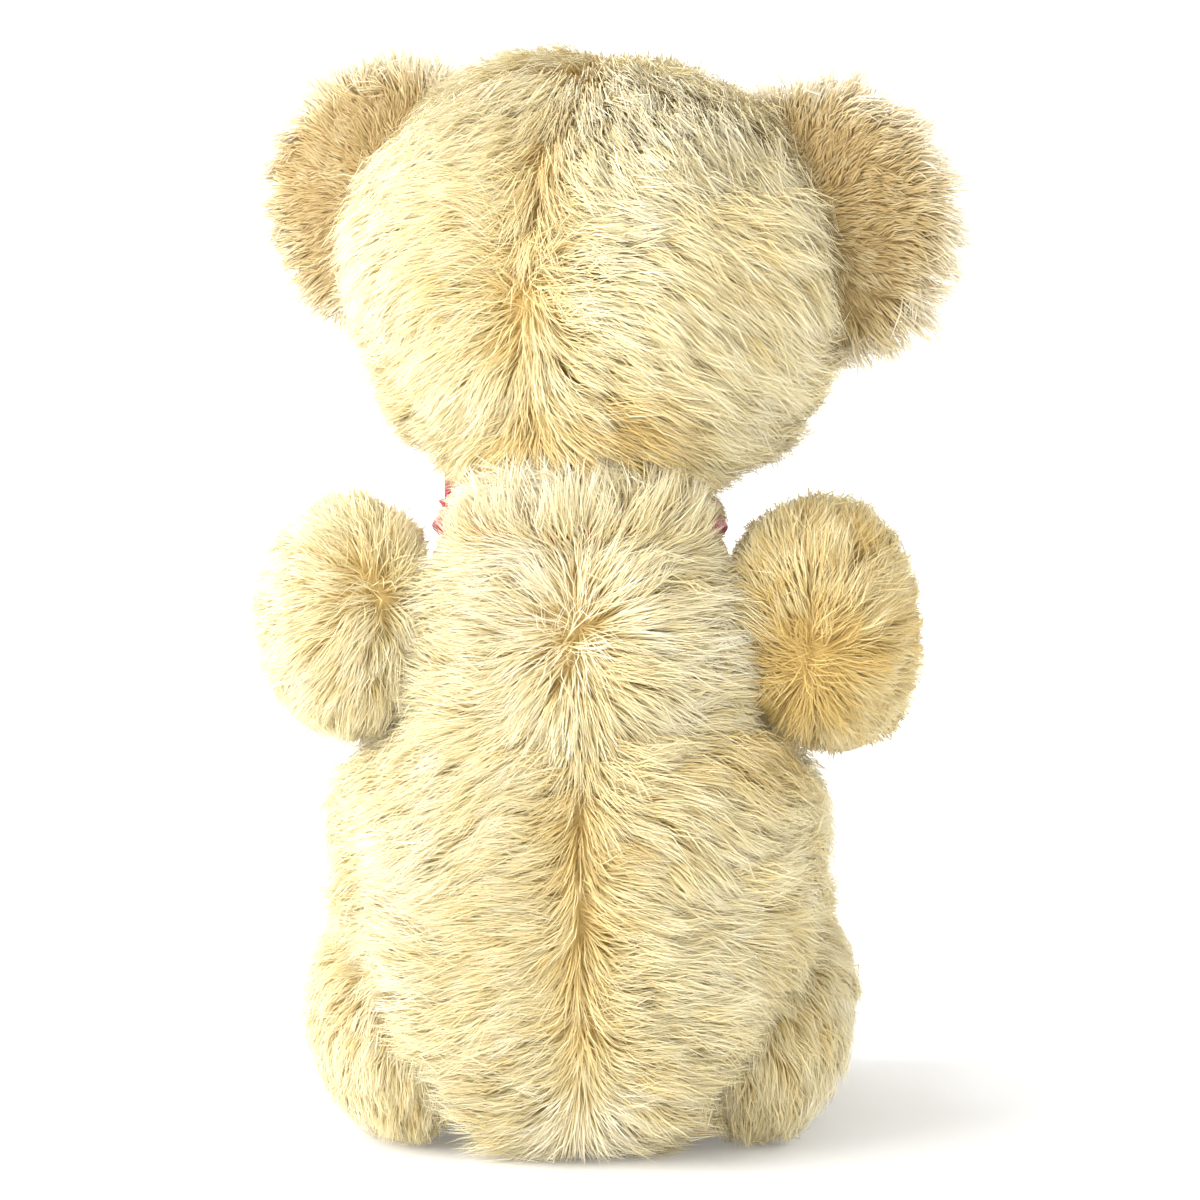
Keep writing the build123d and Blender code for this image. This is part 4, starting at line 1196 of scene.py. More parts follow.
@dataclass
class Limb:
    """What arms and legs share: a form that points forward from a flat joint face."""

    side: Side
    half_span: float = 27.5
    back: float = 1.0
    height: float = 97.0
    lean: float = 0.0
    splay: float = 0.0
    pitch: float = 0.0
    middle: float = 13.3
    face: float = 0.6
    disc: float = 10.0
    stations: tuple[Four, ...] = ()
    rear_dome: float = 20.0
    front_dome: float = 14.0
    swing: Pair = (0.0, 0.0)
    sweep: Triple = (25.0, 54.0, 17.0)
    claws: tuple[float, float, int] = (11.0, 4.4, 4)  # length, spacing and how many

    @property
    def kind(self) -> str:
        """The limb's word in piece names."""
        return "arm"

    @property
    def body(self) -> str:
        """The body that carries the limb's pieces."""
        return f"{self.side.word}_{self.kind}"

    def seat(self) -> Place:
        """The joint's frame: X out of the torso along the joint's axis."""
        sign = self.side.value
        turn = turn_about("Y", sign * self.lean) @ turn_about("Z", sign * self.splay)
        return Place(turn, np.array([sign * self.half_span, self.back, self.height]), sign)

    def place(self) -> Place:
        """The limb's own frame: the seat turned about the joint by the limb's pitch."""
        seat = self.seat()
        return Place(seat.turn @ turn_about("X", self.pitch), seat.origin, seat.flip)

    def hollow(self) -> Pocket:
        """The flat that this limb turns on, in the torso's flank."""
        radius, reach, end_radius = self.sweep
        return Pocket(self.seat(), 0.3, radius - 1.5, reach, end_radius, self.swing)

    def room(self) -> Pocket:
        """The room that the joint's disc, washer and pin take in the torso's stuffing."""
        return Pocket(self.seat(), TORSO_ROOM, self.disc + 2.0, slope=ROOM_SLOPE)

    def clear_of_joint(self, points: Array) -> Array:
        """One away from the hollow and nothing where the limb's own face covers it."""
        hollow = self.hollow()
        local = hollow.place.into(points)
        covered = (1 - smooth(hollow.outside(local), -7.0, -3.5)) * smooth(local[..., 0], -6.0, -4.0)
        return 1 - covered

    def form(self) -> Form:
        """The limb's form, cut flat at its joint face."""
        return Form(self.stations, self.rear_dome, self.front_dome, self.place(), (0, 2, -1),
                    middle=(self.middle, 0, 0), face=self.face, pressed=self.pressed)

    def pressed(self, points: Array) -> Array:
        """One beside the joint's disc, where the plush is pressed thin."""
        local = self.place().into(points)
        return self.over_disc(local) * (1 - smooth(local[..., 0], 5, 11))

    def over_disc(self, local: Array) -> Array:
        """One over the joint's disc and nothing well outside it."""
        return 1 - smooth(np.hypot(local[..., 1], local[..., 2]), self.disc + 2, self.disc + 8)

    def off_face(self, local: Array) -> Array:
        """One away from the flat joint face, which has no pile."""
        return smooth(local[:, 0], self.face + 0.5, self.face + 1.4)

    def outer(self, local: Array) -> Array:
        """One on the limb's outer side, and less on the inner one, whose pile is shorter."""
        return 1 - 0.45 * smooth(7.5 - local[:, 0], 0, 5)

    def filling(self) -> Form:
        """The stuffing's form, with room for the joint's hardware."""
        place = self.place()
        inward = Place(place.turn @ np.diag([-1.0, 1.0, 1.0]), place.origin, place.flip)
        form = self.form()
        form.pressed = None
        form.pockets = (Pocket(inward, LIMB_ROOM, self.disc + 1.6, slope=ROOM_SLOPE),)
        return form

    def covers_and_filling(self, coat: Coat, filling_seed: int) -> None:
        """Makes the outer and inner covers and the stuffing."""
        form = self.form()
        for index, (word, angles) in enumerate(zip(("outer", "inner"), HALVES)):
            patch = Patch(form, seed=17 + index, lumps=0.5, **band(*angles))
            own = replace(coat, seed=coat.seed + index)
            plush_panel(f"{self.body}_{word}_plush", patch, own, self.flow, self.body,
                        f"{self.body}_{word}_cover")
        stuffing_piece(self.filling(), self.body, filling_seed)

    def felt(self, name: str, layers: list[Array]) -> bpy.types.Object:
        """A felt oval between two layers of points in the limb's own frame."""
        cloth = Cloth()
        cloth.shell(*(self.place().out(layer) for layer in layers), span=(0.0, 1.0))
        return cloth.make(f"{self.body}_{name}", FELT, self.body, "paw_felt")

    def rows_of_thread(self, word: str, node: str, tip: float) -> None:
        """Makes straight claws over the tip: each is three threads side by side.

        Each thread's height comes from the form's own oval at its place along the limb.

        Args:
            word: The piece's name, after the body's.
            node: The CAD node's name, after the body's.
            tip: Where along the limb the tip lies.
        """
        cloth = Cloth()
        length, spacing, count = self.claws
        along = np.linspace(tip - 0.6, tip - length, 20)
        wide, high, drift = self.form().oval_at(along, -0.1)
        for claw in range(count):
            for strand in (-1, 0, 1):
                across = (claw - (count - 1) / 2) * spacing + strand * 1.4 * CLAW_RADIUS
                lift = np.sqrt(np.clip(1 - (across / np.maximum(wide, abs(across) + 0.4)) ** 2, 0.02, 1))
                beside = np.full(along.shape, self.middle + across)
                own = np.stack([beside, -along, drift + high * lift], -1)
                own[:, 2] += 0.25 - 0.2 * abs(strand)  # the middle thread stands a little higher
                cloth.skin(thread_along(self.place().out(own), CLAW_RADIUS))
        threads = cloth.make(f"{self.body}_{word}", CLAW_THREAD, self.body, "claw_thread")
        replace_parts(threads, f"{self.body}_{node}")


@dataclass
class Arm(Limb):
    """An arm: outer and inner plush, a felt pad under the paw and four stitched claws."""

    stations: tuple[Four, ...] = (
        (0, 16.6, 21.2, 0), (24.0, 15.9, 19.0, 0), (44.0, 13.5, 15.0, -1.25), (54.0, 13.0, 14.0, -2.5),
    )
    swing: Pair = (32.0, -34.0)
    sweep: Triple = (20.8, 54.0, 17.3)
    pad: Triple = (49.0, 12.0, 8.5)
    whorl: Triple = (6.0, 19.0, 2.0)
    # reach in millimetres of the golden shade painted round the shoulder's whorl; wider on the shaded right
    # arm
    gold: float = 11.0

    def over_pad(self, local: Array) -> Array:
        """How far outside the pad's outline a place is, as a share of the outline; under it only."""
        pad_at, half_long, half_wide = self.pad
        off = np.hypot((local[..., 1] + pad_at) / half_long, (local[..., 0] - self.middle) / half_wide)
        return np.where(local[..., 2] < -2, off, 9.0)

    def flow(self, points: Array) -> Growth:
        """Pile lies away from a whorl at the back of the shoulder, on towards the paw."""
        local = self.place().into(points)
        off = local - np.array(self.whorl)
        way = fan_out(off, 7.0) + np.array([0.0, -0.5, -0.1]) * smooth(-local[:, 1], 0, 30)[:, None]
        way = self.place().aim(way) + np.array([0, 0, -0.12])
        tip = self.stations[-1][0] + self.front_dome
        claw = smooth(-local[:, 1], tip - 14, tip - 8) * smooth(local[:, 2], -4, 2)
        pad = self.over_pad(local)
        length = (0.92 + 0.1 * ripple(points, 20.0, 8)) * (1 - 0.5 * claw)
        length = length * (1 - 0.3 * smooth(1.5 - pad, 0, 0.3))
        length = length * self.outer(local)
        gold = np.exp(-((off / self.gold) ** 2).sum(-1))
        # Painted shade and light: golden shade round the whorl, and the left arm, toward the key lamp,
        # paler than the right; the ripple is the cloth's own tone.
        shade = 0.54 + 0.1 * ripple(points, 24.0, 9) - 0.34 * gold + 0.16 * self.side.value
        share = self.off_face(local) * smooth(pad, 0.98, 1.04)
        return Growth(way, length, shade, share)

    def build(self) -> None:
        """Makes the arm's covers, stuffing, pad and claws."""
        coat = Coat(density=5.6, length=9.6, stand=0.38, pull=0.5, seed=41 + 2 * self.side.value)
        self.covers_and_filling(coat, 33)
        self.build_pad()
        self.rows_of_thread("claws", "claw_stitches", self.stations[-1][0] + self.front_dome)

    def build_pad(self) -> None:
        """The felt pad: an oval that follows the paw's underside, 1.2 mm thick."""
        pad_at, half_long, half_wide = self.pad
        turn, out = lattice((0, FULL_TURN, 65), (0, 1, 14))
        along = pad_at + out * half_long * np.cos(turn)
        across = out * half_wide * np.sin(turn)
        form, layers = self.form(), []
        for depth in (2.5, 3.7):
            wide, high, drift = form.oval_at(along, depth)
            lift = np.sqrt(np.clip(1 - (across / np.maximum(wide, 1.0)) ** 2, 0.0, 1))
            layers.append(np.stack([self.middle + across, -along, drift - high * lift], -1))
        pad = self.felt("pad", layers)
        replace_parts(pad, f"{self.body}_paw_pad")


@dataclass
class Leg(Limb):
    """A leg: outer and inner plush, a felt sole on card and four stitched toes."""

    half_span: float = 20.5
    back: float = -6.0
    height: float = 25.0
    lean: float = 10.0
    disc: float = 12.0
    stations: tuple[Four, ...] = (
        (0, 16.2, 22.3, 0), (26.0, 15.5, 20.0, -1.5), (48.0, 14.0, 16.5, -4.8),
        (62.0, 15.0, 19.5, -2.0), (74.0, 16.0, 24.0, 2.0), (82.6, 16.0, 24.0, 2.0),
    )
    rear_dome: float = 22.3
    front_dome: float = 0.0
    swing: Pair = (0.0, 95.0)
    sweep: Triple = (23.1, 74.0, 24.0)
    sole: float = 84.0
    whorl: Triple = (8.0, 14.0, 16.0)

    @property
    def kind(self) -> str:
        """The limb's word in piece names."""
        return "leg"

    def flow(self, points: Array) -> Growth:
        """Pile lies away from a whorl on the hip, down and on towards the foot."""
        local = self.place().into(points)
        off = local - np.array(self.whorl)
        way = fan_out(off, 6.0) + np.array([0.1, -0.6, -0.3]) * smooth(-local[:, 1], 0, 30)[:, None]
        way = self.place().aim(way) + np.array([0, 0, -0.25])
        toe = smooth(-local[:, 1], self.sole - 15, self.sole - 9) * smooth(local[:, 2], 10, 18)
        length = (0.85 + 0.1 * ripple(points, 20.0, 6)) * (1 - 0.5 * toe) * self.outer(local)
        length = length * (1 - 0.4 * smooth(-local[:, 1], self.sole - 12, self.sole - 5))
        # Painted shade: the inner half, against the body, is darker than the outer; the ripple is the
        # cloth's own tone.
        shade = 0.52 + 0.1 * ripple(points, 24.0, 2) + 0.12 * smooth(local[:, 0], 14, 28)
        share = self.off_face(local) * (1 - smooth(-local[:, 1], self.sole - 6.4, self.sole - 5.8))
        share = share * smooth(points[:, 2], 1.0, 2.0)
        return Growth(way, length, shade, share)

    def build(self) -> None:
        """Makes the leg's covers, stuffing, sole and toes."""
        coat = Coat(density=5.2, length=9.3, stand=0.36, pull=0.5, seed=51 + 2 * self.side.value)
        self.covers_and_filling(coat, 35)
        self.build_sole()
        self.rows_of_thread("toes", "toe_stitches", self.sole - 1.4)

    def build_sole(self) -> None:
        """The felt sole: an oval plate, crowned a little in the middle."""
        half_wide, half_high, rise, margin = 16.0, 24.0, 2.0, 3.3
        turn, out = lattice((0, FULL_TURN, 81), (0, 1, 16))
        across = out * (half_wide - margin) * np.cos(turn)
        up = rise + out * (half_high - margin) * np.sin(turn)
        layers = []
        crown, edge = 0.5 * (1 - out**2), 0.35 * smooth(out, 0.93, 1.0)
        for front, shaped in ((self.sole - 2.5, 1), (self.sole - 3.68, 0)):
            ahead = front + shaped * crown - shaped * edge
            layers.append(np.stack([self.middle + across, -ahead, up], -1))
        sole = self.felt("sole", layers)
        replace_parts(sole, f"{self.body}_sole_felt")


@dataclass
class Head:
    """The head: two sides and a gusset, ears, stitched nose and mouth, glass eyes."""

    neck: float = 121.0
    turn: float = -20.0
    tilt: float = 3.0
    skull: Pair = (8.0, 36.2)
    stations: tuple[Four, ...] = (
        (0, 45.2, 39.8, 0), (18.0, 40.2, 34.2, 0), (29.0, 29.0, 25.0, -4.5),
        (38.0, 19.5, 16.5, -10.0), (49.0, 16.0, 13.5, -10.0),
    )
    back_dome: float = 37.0
    muzzle_dome: float = 10.0
    gusset: Triple = (13.0, 6.0, 22.0)
    ear_middle: Triple = (41.0, 12.5, -4.0)
    ear_radius: float = 21.0
    ear_base: Pair = (40.4, 36.4)
    nose: Triple = (7.5, 6.5, 8.0)
    mouth: Pair = (5.0, 4.5)

    def place(self) -> Place:
        """The skull's frame: X across to the bear's left, Y up and Z forward."""
        tilt = math.radians(self.tilt)
        across = np.array([math.cos(tilt), 0, math.sin(tilt)])
        ahead = np.array([0.0, -1.0, 0.0])
        turn = np.column_stack([across, np.cross(ahead, across), ahead])
        about = turn_about("Z", self.turn)
        forward, up = self.skull
        return Place(about @ turn, about @ np.array([0, -forward, up]) + (0, 0, self.neck))

    def form(self) -> Form:
        """The head's form, cut flat on the neck joint."""
        return Form(self.stations, self.back_dome, self.muzzle_dome, self.place(), (0, 1, 2),
                    floor=self.neck + 0.6, pressed=self.pressed)

    def pressed(self, points: Array) -> Array:
        """One beside the neck's disc, where the plush is pressed thin."""
        near = np.hypot(points[..., 0], points[..., 1])
        return (1 - smooth(near, 16, 24)) * (1 - smooth(points[..., 2], 127, 134))

    def gusset_half(self, share: Array) -> Array:
        """The gusset's half width along the head, from the nose to its point at the back."""
        wide, narrow, back = self.gusset
        ahead = self.form().sizes(share)[0]
        return np.interp(ahead, (-back, 0, 18, 38, 60), (0, wide, wide, narrow, narrow))

    def gusset_angle(self, share: Array) -> Array:
        """The angle round the head at which the gusset's left edge runs."""
        half = self.form().sizes(share)[1]
        ratio = np.clip(self.gusset_half(share) / np.maximum(half, 1e-3), 0, 0.97)
        return np.arccos(ratio)

    def far_gusset_angle(self, share: Array) -> Array:
        """The angle at which its right edge runs."""
        return HALF_TURN - self.gusset_angle(share)

    def flow(self, points: Array) -> Growth:
        """Pile lies away from the seam down the back of the head, and back from the nose."""
        place = self.place()
        local = place.into(points)
        across, up, ahead = local.T
        side = np.tanh(across / SEAM_HALF)
        crown = smooth(up, 8, 34)
        fall = -0.34 + 0.2 * crown - 0.6 * (1 - side**2)
        way = np.stack([side * (1 - 0.45 * crown), fall, 0.22 - 0.9 * crown], -1)
        swirl = np.stack([across - 1.5, up + 4.0, 0 * up], -1)
        near = np.exp(-((swirl**2).sum(-1)) / 17.0**2) * smooth(-ahead, 16, 26)
        swirl = fan_out(swirl, 6.0)
        way = way * (1 - 0.6 * near)[:, None] + swirl * (0.5 * near)[:, None]
        face = smooth(ahead, 6, 28)
        away = local - np.array([0.0, -6.0, 62.0])
        way = way * (1 - face)[:, None] + (unit(away) + np.array([0, -0.25, 0])) * face[:, None]
        way[:, 1] += 0.3 * ripple(points, 36.0, 14)
        way = place.aim(way) + np.array([0, 0, -0.1])
        muzzle = smooth(ahead, 24, 38)
        length = 1 + 0.1 * ripple(points, 24.0, 15) + 0.14 * smooth(-across, 12, 36)
        length = length * (1 - 0.35 * face) * (1 - 0.35 * muzzle)
        for side_of in Side:
            low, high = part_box(f"{side_of.word}_glass_eye")
            eye = (np.array(low) + np.array(high)) / 2 / MM
            gap = np.linalg.norm(points - eye, axis=1)
            length = length * (0.35 + 0.65 * smooth(gap, 6, 13))
        share = smooth(points[:, 2], self.neck + 0.7, self.neck + 1.0)
        share = share * (1 - self.under_nose(across, up, ahead))
        seam = bell(across, 3.0) * smooth(-ahead, 10, 24)
        # Painted shade along the back seam's parting and round the whorl, and painted light towards the top
        # of the head; the ripple is the cloth's own tone.
        shade = 0.56 + 0.1 * ripple(points, 30.0, 12) - 0.22 * seam - 0.1 * near + 0.14 * smooth(up, 14, 36)
        # Painted shade low on the right back of the head, above the neck.
        nape = smooth(148 - points[:, 2], 0, 16)
        shade = shade - 0.32 * nape * bell(across + 12, 17) * smooth(-ahead, 4, 20)
        return Growth(way, length, shade, share)

    def under_nose(self, across: Array, up: Array, ahead: Array) -> Array:
        """One where the nose's stitches or the mouth lie over the pile."""
        half, top, height = self.nose
        margin, mouth_foot, muzzle_front = 1.2, height + 9, 44
        below = self.stations[-1][3] + top - up
        wedge = half * (1 - below / height) + margin
        on_nose = (below > -0.8) & (below < height) & (np.abs(across) < wedge)
        on_mouth = (below >= height - 1) & (below < mouth_foot) & (np.abs(across) < margin)
        return np.where((ahead > muzzle_front) & (on_nose | on_mouth), 1.0, 0.0)

    def build(self) -> None:
        """Makes every piece of the head."""
        form, chin = self.form(), band(-QUARTER_TURN, 3 * QUARTER_TURN)
        sides = {
            Side.LEFT: (chin["low"], self.gusset_angle),
            Side.RIGHT: (self.far_gusset_angle, chin["high"]),
        }
        for side, (low, high) in sides.items():
            patch = Patch(form, low=low, high=high, seed=6)
            coat = Coat(density=5.6, length=10.0, seed=61 + side.value)
            plush_panel(f"head_{side.word}_plush", patch, coat, self.flow, "head", f"head_{side.word}_side")
        patch = Patch(form, form.share_at(-self.gusset[2]), 1.0, self.gusset_angle, self.far_gusset_angle,
                      seed=6)
        coat = Coat(density=5.6, length=9.8, seed=64)
        plush_panel("gusset_plush", patch, coat, self.flow, "head", "head_gusset")
        filling = self.form()
        filling.pressed = None
        down = Place(turn_about("Y", 90), np.array([0, 0, self.neck]))
        filling.pockets = (Pocket(down, LIMB_ROOM, NECK_ROOM, slope=ROOM_SLOPE),)
        stuffing_piece(filling, "head", 37)
        for side in Side:
            self.build_ear(side)
        self.build_nose()
        self.build_mouth()

    def build_ear(self, side: Side) -> None:
        """An ear's front and back panels."""
        for word, toward_back in (("back", 1), ("front", -1)):
            patch = EarPatch(self.place(), side.value, self.ear_base, *self.ear_middle, self.ear_radius,
                             toward_back)
            coat = Coat(density=6.4, length=9.0, width=0.25, rise=0.5, stand=0.3, lock_area=4.0,
                        seed=71 + 3 * side.value + toward_back)
            plush_panel(f"{side.word}_ear_{word}_plush", patch, coat, self.ear_flow(side), "head",
                        f"{side.word}_ear_{word}", EAR_PLUSH, "ear_plush")

    def ear_flow(self, side: Side) -> Flow:
        """Short pile that lies outwards, and a long fringe round the rim."""
        place, (ear_out, ear_up) = self.place(), self.ear_middle[:2]

        def flow(points: Array) -> Growth:
            """Growth at places on this ear."""
            local = place.into(points)
            off = np.stack([local[:, 0] - side.value * ear_out, local[:, 1] - ear_up, 0 * local[:, 0]], -1)
            rim = np.linalg.norm(off, axis=1) / self.ear_radius
            out = unit(off + np.array([side.value * 5.0, 1.5, 0]))
            ruffle = 0.25 * ripple(points, 15.0, 18)[:, None] * np.array([0, 1, 0])
            way = place.aim(out + np.array([0, -0.1, 0]) + ruffle)
            fringe = smooth(rim, 0.8, 0.98)
            length = 0.34 + 0.9 * fringe
            # The middle is painted dark: partly the short pile's golden roots, partly painted shade in the
            # ear's cup; the fringe round the rim stays pale.
            shade = 0.14 + 0.12 * ripple(points, 12.0, 16) + 0.74 * fringe
            return Growth(way, length, shade, np.full(len(points), 1.0))

        return flow

    def muzzle_point(self, across: Array, up: Array, proud: float) -> Array:
        """The place on the muzzle's dome in front of (across, up), standing proud of the pile.

        On the dome (across / width)^2 + (up / height)^2 + (ahead / depth)^2 = 1.
        """
        place, wide, high, drift = self.stations[-1]
        wide, high, deep = wide + proud, high + proud, self.muzzle_dome + proud
        inside = np.clip(1 - (across / wide) ** 2 - ((up - drift) / high) ** 2, 0.01, 1)
        return self.place().out(np.stack([across, up, place + deep * np.sqrt(inside)], -1))

    def build_nose(self) -> None:
        """Upright satin stitches side by side, each from the nose's top edge to its slanting foot."""
        half, top, height = self.nose
        middle = self.stations[-1][3]
        cloth = Cloth()
        spacing = 0.52
        for across in np.arange(-half + 0.4, half - 0.3, spacing):
            foot = middle + top - height * (1 - abs(across) / (half + 0.3)) - 0.3
            up = np.linspace(middle + top + 0.2, foot, 16)
            cloth.skin(thread_along(self.muzzle_point(np.full(up.shape, across), up, 0.55), 0.42, 8))
        edge = np.linspace(-half, half, 24)
        brow = np.full(edge.shape, middle + top + 0.3)
        cloth.skin(thread_along(self.muzzle_point(edge, brow, 0.75), 0.4, 8))
        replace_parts(cloth.make("nose_threads", FACE_THREAD, "head", "face_thread"), "nose_stitching")

    def build_mouth(self) -> None:
        """A straight stitch down from the nose and a quarter turn to each side."""
        top, height = self.nose[1:]
        length, radius = self.mouth
        foot = self.stations[-1][3] + top - height
        lines = [(np.zeros(12), np.linspace(foot + 0.5, foot - length, 12))]
        angle = np.linspace(0, QUARTER_TURN * 1.05, 16)
        for side in (1, -1):
            lines.append((side * radius * (1 - np.cos(angle)), foot - length - radius * np.sin(angle)))
        cloth = Cloth()
        for across, up in lines:
            for strand in (-0.3, 0.3):
                cloth.skin(thread_along(self.muzzle_point(across + strand, up, 0.3), 0.36, 8))
        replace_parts(cloth.make("mouth_threads", FACE_THREAD, "head", "face_thread"), "mouth_stitching")


@dataclass
class Ribbon:
    """The neck ribbon: a gathered satin band and a bow in front. Sizes in millimetres."""

    width: float = 10.0
    bottom: float = 111.3
    height: float = 6.0
    half_width: float = 25.2
    half_depth: float = 22.2
    shift: float = -1.4
    bow_front: float = -26.1  # Y of the bow's middle
    loops: tuple[Four, ...] = ((25.0, 11.5, 4.6, 0.22), (21.0, 11.5, 4.4, 0.05))
    tail: Triple = (25.0, 9.6, 24.0)
    knot: Triple = (3.8, 4.4, 3.4)

    def sheet(self, name: str, grids: list[Array]) -> bpy.types.Object:
        cloth = Cloth()
        for grid in grids:
            cloth.shell(*around_edge(grid, RIBBON_GAUGE), span=(0.0, 1.0))
        piece = cloth.make(name, RIBBON_SATIN, "torso", "ribbon_satin")
        return piece

    def band(self) -> Array:
        """The band: an ellipse round the neck whose section is folded in an S.

        The radius swells by a sine of the height, and small crossways waves gather it.
        """
        turn, v = lattice((0, FULL_TURN, 181), (0, 1, 13))
        fold = 1.05 * np.sin(2 * math.pi * v) + 0.22 * np.sin(23 * turn + 4 * v) + 0.2 * np.sin(9 * turn)
        z = self.bottom + self.height * v + 0.25 * np.sin(7 * turn + 1.0)
        y = (self.half_depth + fold) * np.sin(turn) + self.shift
        return np.stack([(self.half_width + fold) * np.cos(turn), y, z], -1)

    def loop_grid(self, side: int, middle: Array) -> Array:
        """One loop: it goes out in front, folds over and comes back behind.

        Along the ribbon x follows a sine and the depth a cosine of the same half turn, while
        the ribbon's width opens from the knot to the fold with soft creases.
        """
        long, high, deep, lift = self.loops[0 if side > 0 else 1]
        p, w = lattice((0, 1, 49), (-0.5, 0.5, 13))
        x = long * np.sin(math.pi * p) ** 0.85
        opening = 0.42 + 0.58 * smooth(x, 1.5, 14.0)
        z = high * opening * w + lift * x
        crease = 0.55 * np.cos(3 * math.pi * w) * (1 - smooth(x, 4, 18))
        y = -deep / 2 * np.cos(math.pi * p) * (0.35 + 0.65 * smooth(x, 0, 9)) + crease
        return middle + np.stack([side * x, y, z], -1)

    def tail_grid(self, side: int, middle: Array) -> Array:
        """One tail: it hangs down and outwards in a soft wave, and ends in a notch."""
        long, wide, spread = self.tail
        p, w = lattice((0, 1, 29), (-0.5, 0.5, 11))
        lean = math.radians(side * spread)
        width = wide * (0.5 + 0.5 * smooth(p, 0.0, 0.35))
        notch = 3.2 * (1 - 2 * np.abs(w)) * smooth(p, 0.6, 1.0)
        down = p * (long - notch)
        across = width * w
        drape = -1.6 - 6.2 * p * (1.35 - 0.35 * p)
        y = drape - 0.9 * np.sin(2.4 * math.pi * p) * p - 0.35 * np.cos(2 * math.pi * w) * (1 - p)
        x = down * math.sin(lean) + across * math.cos(lean)
        z = -down * math.cos(lean) + across * math.sin(lean)
        return middle + np.stack([x, y, z], -1)

    def build(self) -> None:
        """Makes the band, the loops, the tails and the knot."""
        bow = np.array([0.0, self.bow_front, self.bottom + 0.2])
        piece = self.sheet("neck_ribbon_band", [self.band()])
        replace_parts(piece, "neck_ribbon")
        for side in Side:
            loop = self.loop_grid(side.value, bow)
            grid = loop if side is Side.LEFT else loop[::-1]
            self.sheet(f"bow_{side.word}_loop", [grid])
        tails = [self.tail_grid(side.value, bow + (0, -1.2, -1.5)) for side in Side]
        self.sheet("bow_tails", tails)
        turn, v = lattice((0, FULL_TURN, 49), (0.0, HALF_TURN, 25))
        half_wide, half_high, half_deep = self.knot
        crease = 1 + 0.05 * np.cos(5 * turn) * np.sin(v)
        knot = np.stack([
            half_wide * np.sign(np.cos(v)) * np.abs(np.cos(v)) ** 0.7,
            half_deep * np.sin(v) ** 0.6 * np.cos(turn) * crease,
            half_high * np.sin(v) ** 0.6 * np.sin(turn) * crease,
        ], -1) + bow + (0, -0.4, 0)
        cloth = Cloth()
        cloth.skin(knot[::-1])
        wrapped = cloth.make("bow_knot", RIBBON_SATIN, "torso", "ribbon_satin")


class Hardware:
    """The discs, washers, pins, cards and eyes, which keep their CAD shapes."""

    finishes: tuple[tuple[str, Finish], ...] = (
        ("_disc", HARDBOARD), ("sole_card", CARD), ("washer", WASHER_STEEL), ("cotter_pin", PIN_STEEL),
        ("glass_eye", EYE_GLASS),
    )

    def dress(self) -> None:
        """Gives each kept node its own finish."""
        for name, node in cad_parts.items():
            for word, finish in self.finishes:
                if word in name:
                    node.data.materials.clear()
                    node.data.materials.append(finish.material())
                    log.info("%s: %s", name, finish.name)


@dataclass(frozen=True)
class Lamp:
    """A square soft light. Sizes in metres, power in watts."""

    name: str
    at: Triple
    size: float
    power: float
    colour: Triple = (1.0, 1.0, 1.0)
    toward: Triple = (0, 0, 0.1)

    def hang(self) -> None:
        """Makes the light and turns it to its target."""
        data = bpy.data.lights.new(self.name, "AREA")
        data.shape, data.size, data.energy, data.color = "SQUARE", self.size, self.power, self.colour
        lamp = placed(self.name, data)
        lamp.location = self.at
        lamp.rotation_euler = aim_angles(np.array(self.toward) - np.array(self.at))


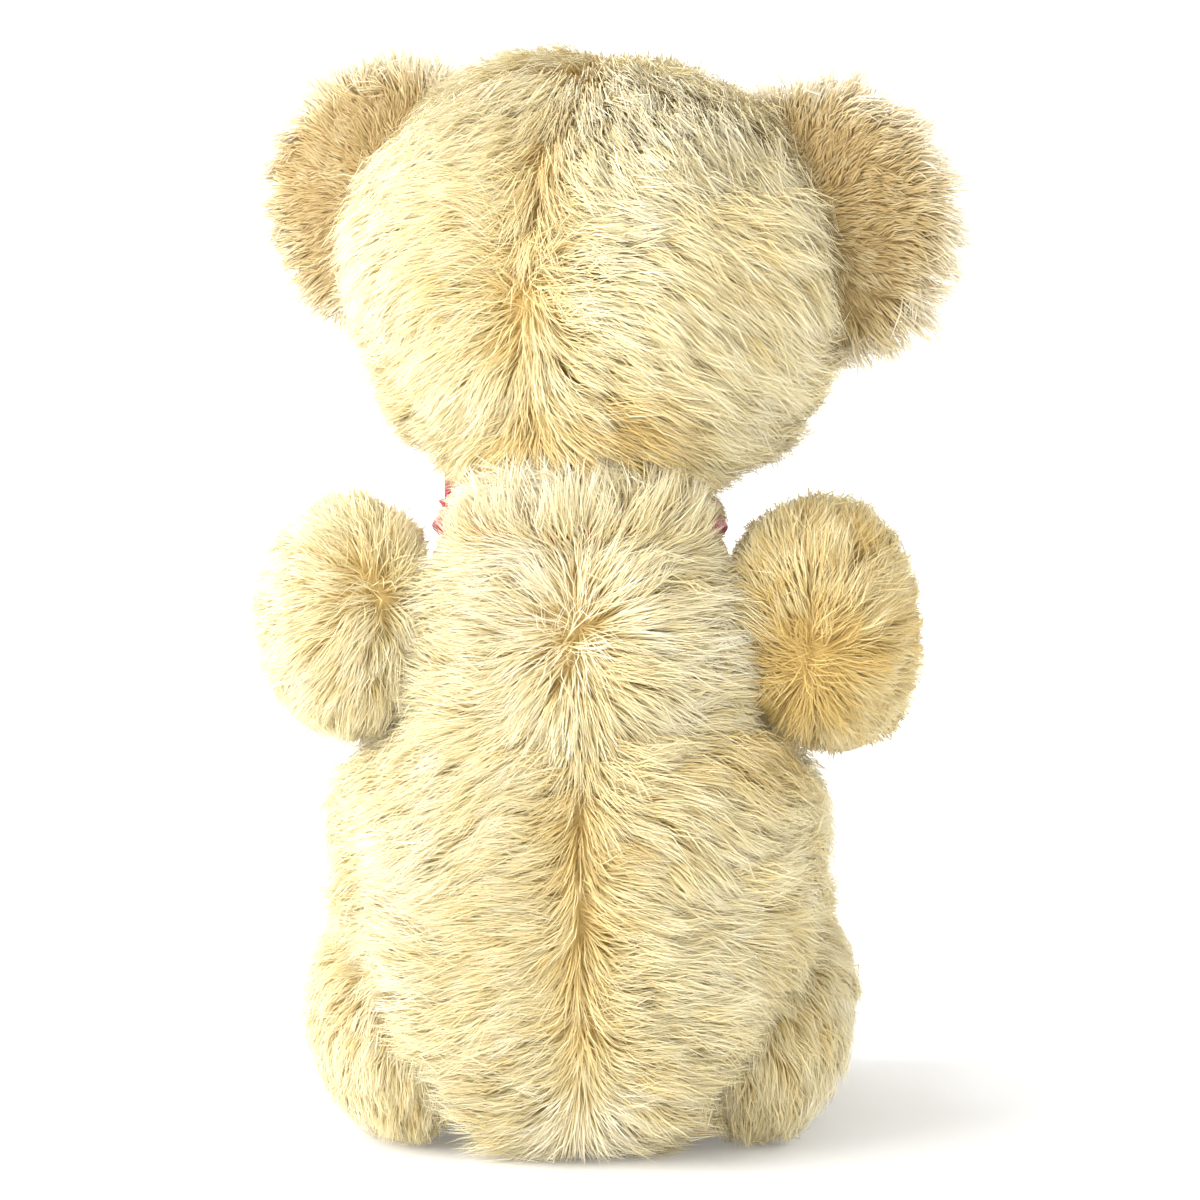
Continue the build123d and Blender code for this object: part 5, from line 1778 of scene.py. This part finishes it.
@dataclass
class Studio:
    """A pale sweep, soft lights and the camera behind the bear. Sizes in metres."""

    target: Triple = (-0.0036, 0.0, 0.0995)
    distance: float = 0.9
    elevation: float = 5.0
    lens: float = 150.0
    lamps: tuple[Lamp, ...] = (
        Lamp("key", (1.4, 0.55, 0.8), 2.0, 53.0, (1.0, 0.985, 0.96)),
        Lamp("top", (0.35, 0.15, 1.5), 1.3, 5.0),
        Lamp("wall", (0.0, -0.7, 1.0), 1.2, 26.0, toward=(0.0, -2.4, 0.35)),
    )
    air: float = 0.14  # strength of the light from all round
    glow: float = 0.14  # strength of the sweep's own light

    def backdrop(self) -> None:
        """A floor that sweeps up into a wall on the far side, as one surface of revolution.

        The profile runs flat, then up a quarter circle, then straight up.
        """
        floor, curve, wall = 1.6, 0.8, 2.4  # radii of the floor, of the curve and of the wall
        flat, angle = np.linspace(0, floor, 8), np.linspace(0, QUARTER_TURN, 16)
        radius = np.concatenate([flat, floor + curve * np.sin(angle)[1:], [wall, wall]])
        height = np.concatenate([0 * flat, curve * (1 - np.cos(angle))[1:], [1.6, 3.2]])
        turn, r = np.meshgrid(np.linspace(0, FULL_TURN, 65), radius, indexing="ij")
        grid = np.stack([r * np.cos(turn), r * np.sin(turn), np.broadcast_to(height, r.shape)], -1)
        cloth = Cloth()
        cloth.skin(grid / MM)
        points, faces = cloth.points[0] * MM, cloth.faces[0]
        mesh = bpy.data.meshes.new("studio_sweep")
        mesh.from_pydata(points.tolist(), [], faces.tolist())
        mesh.polygons.foreach_set("use_smooth", np.full(len(faces), True))
        sweep = placed("studio_sweep", mesh)
        shader = Shader("studio_white")
        mesh.materials.append(shader.finish(Base_Color=(0.93, 0.93, 0.93, 1), Roughness=0.9,
                                            Emission_Color=(1, 1, 1, 1), Emission_Strength=self.glow))

    def build(self) -> None:
        """Makes the stage, the lights and the camera."""
        self.backdrop()
        for lamp in self.lamps:
            lamp.hang()
        world = bpy.data.worlds.new("studio_air")
        world.use_nodes = True
        colour, strength = world.node_tree.nodes["Background"].inputs[:2]
        colour.default_value, strength.default_value = (1.0, 1.0, 1.0, 1.0), self.air
        bpy.context.scene.world = world
        bpy.context.scene.view_settings.view_transform = "Standard"
        data = bpy.data.cameras.new("camera")
        data.lens, data.sensor_width = self.lens, 36.0
        camera = placed("camera", data)
        rise = math.radians(self.elevation)
        toward = np.array([0, -math.cos(rise), -math.sin(rise)])
        camera.location = np.array(self.target) - toward * self.distance
        camera.rotation_euler = aim_angles(toward)
        bpy.context.scene.camera = camera


def aim_angles(toward: Array) -> Triple:
    """The Euler angles that turn a lamp or camera to face a direction, kept upright."""
    x, y, z = unit(toward)
    return (math.acos(-z), 0.0, math.atan2(y, x) - math.pi / 2)


ARMS = {
    "left": Arm(Side.LEFT, pitch=9.0, splay=2.0),
    "right": Arm(Side.RIGHT, pitch=18.0, splay=7.0, whorl=(16.0, 14.0, -15.0), middle=15.4, gold=19.0),
}
LEGS = {"left": Leg(Side.LEFT), "right": Leg(Side.RIGHT)}


def main() -> None:
    """Builds the studio and the bear, part by part."""
    logging.basicConfig(level=logging.INFO)
    Studio().build()
    limbs = [*ARMS.values(), *LEGS.values()]
    Torso().build(limbs)
    for limb in limbs:
        limb.build()
    Head().build()
    Ribbon().build()
    Hardware().dress()


if __name__ == "__main__":
    main()
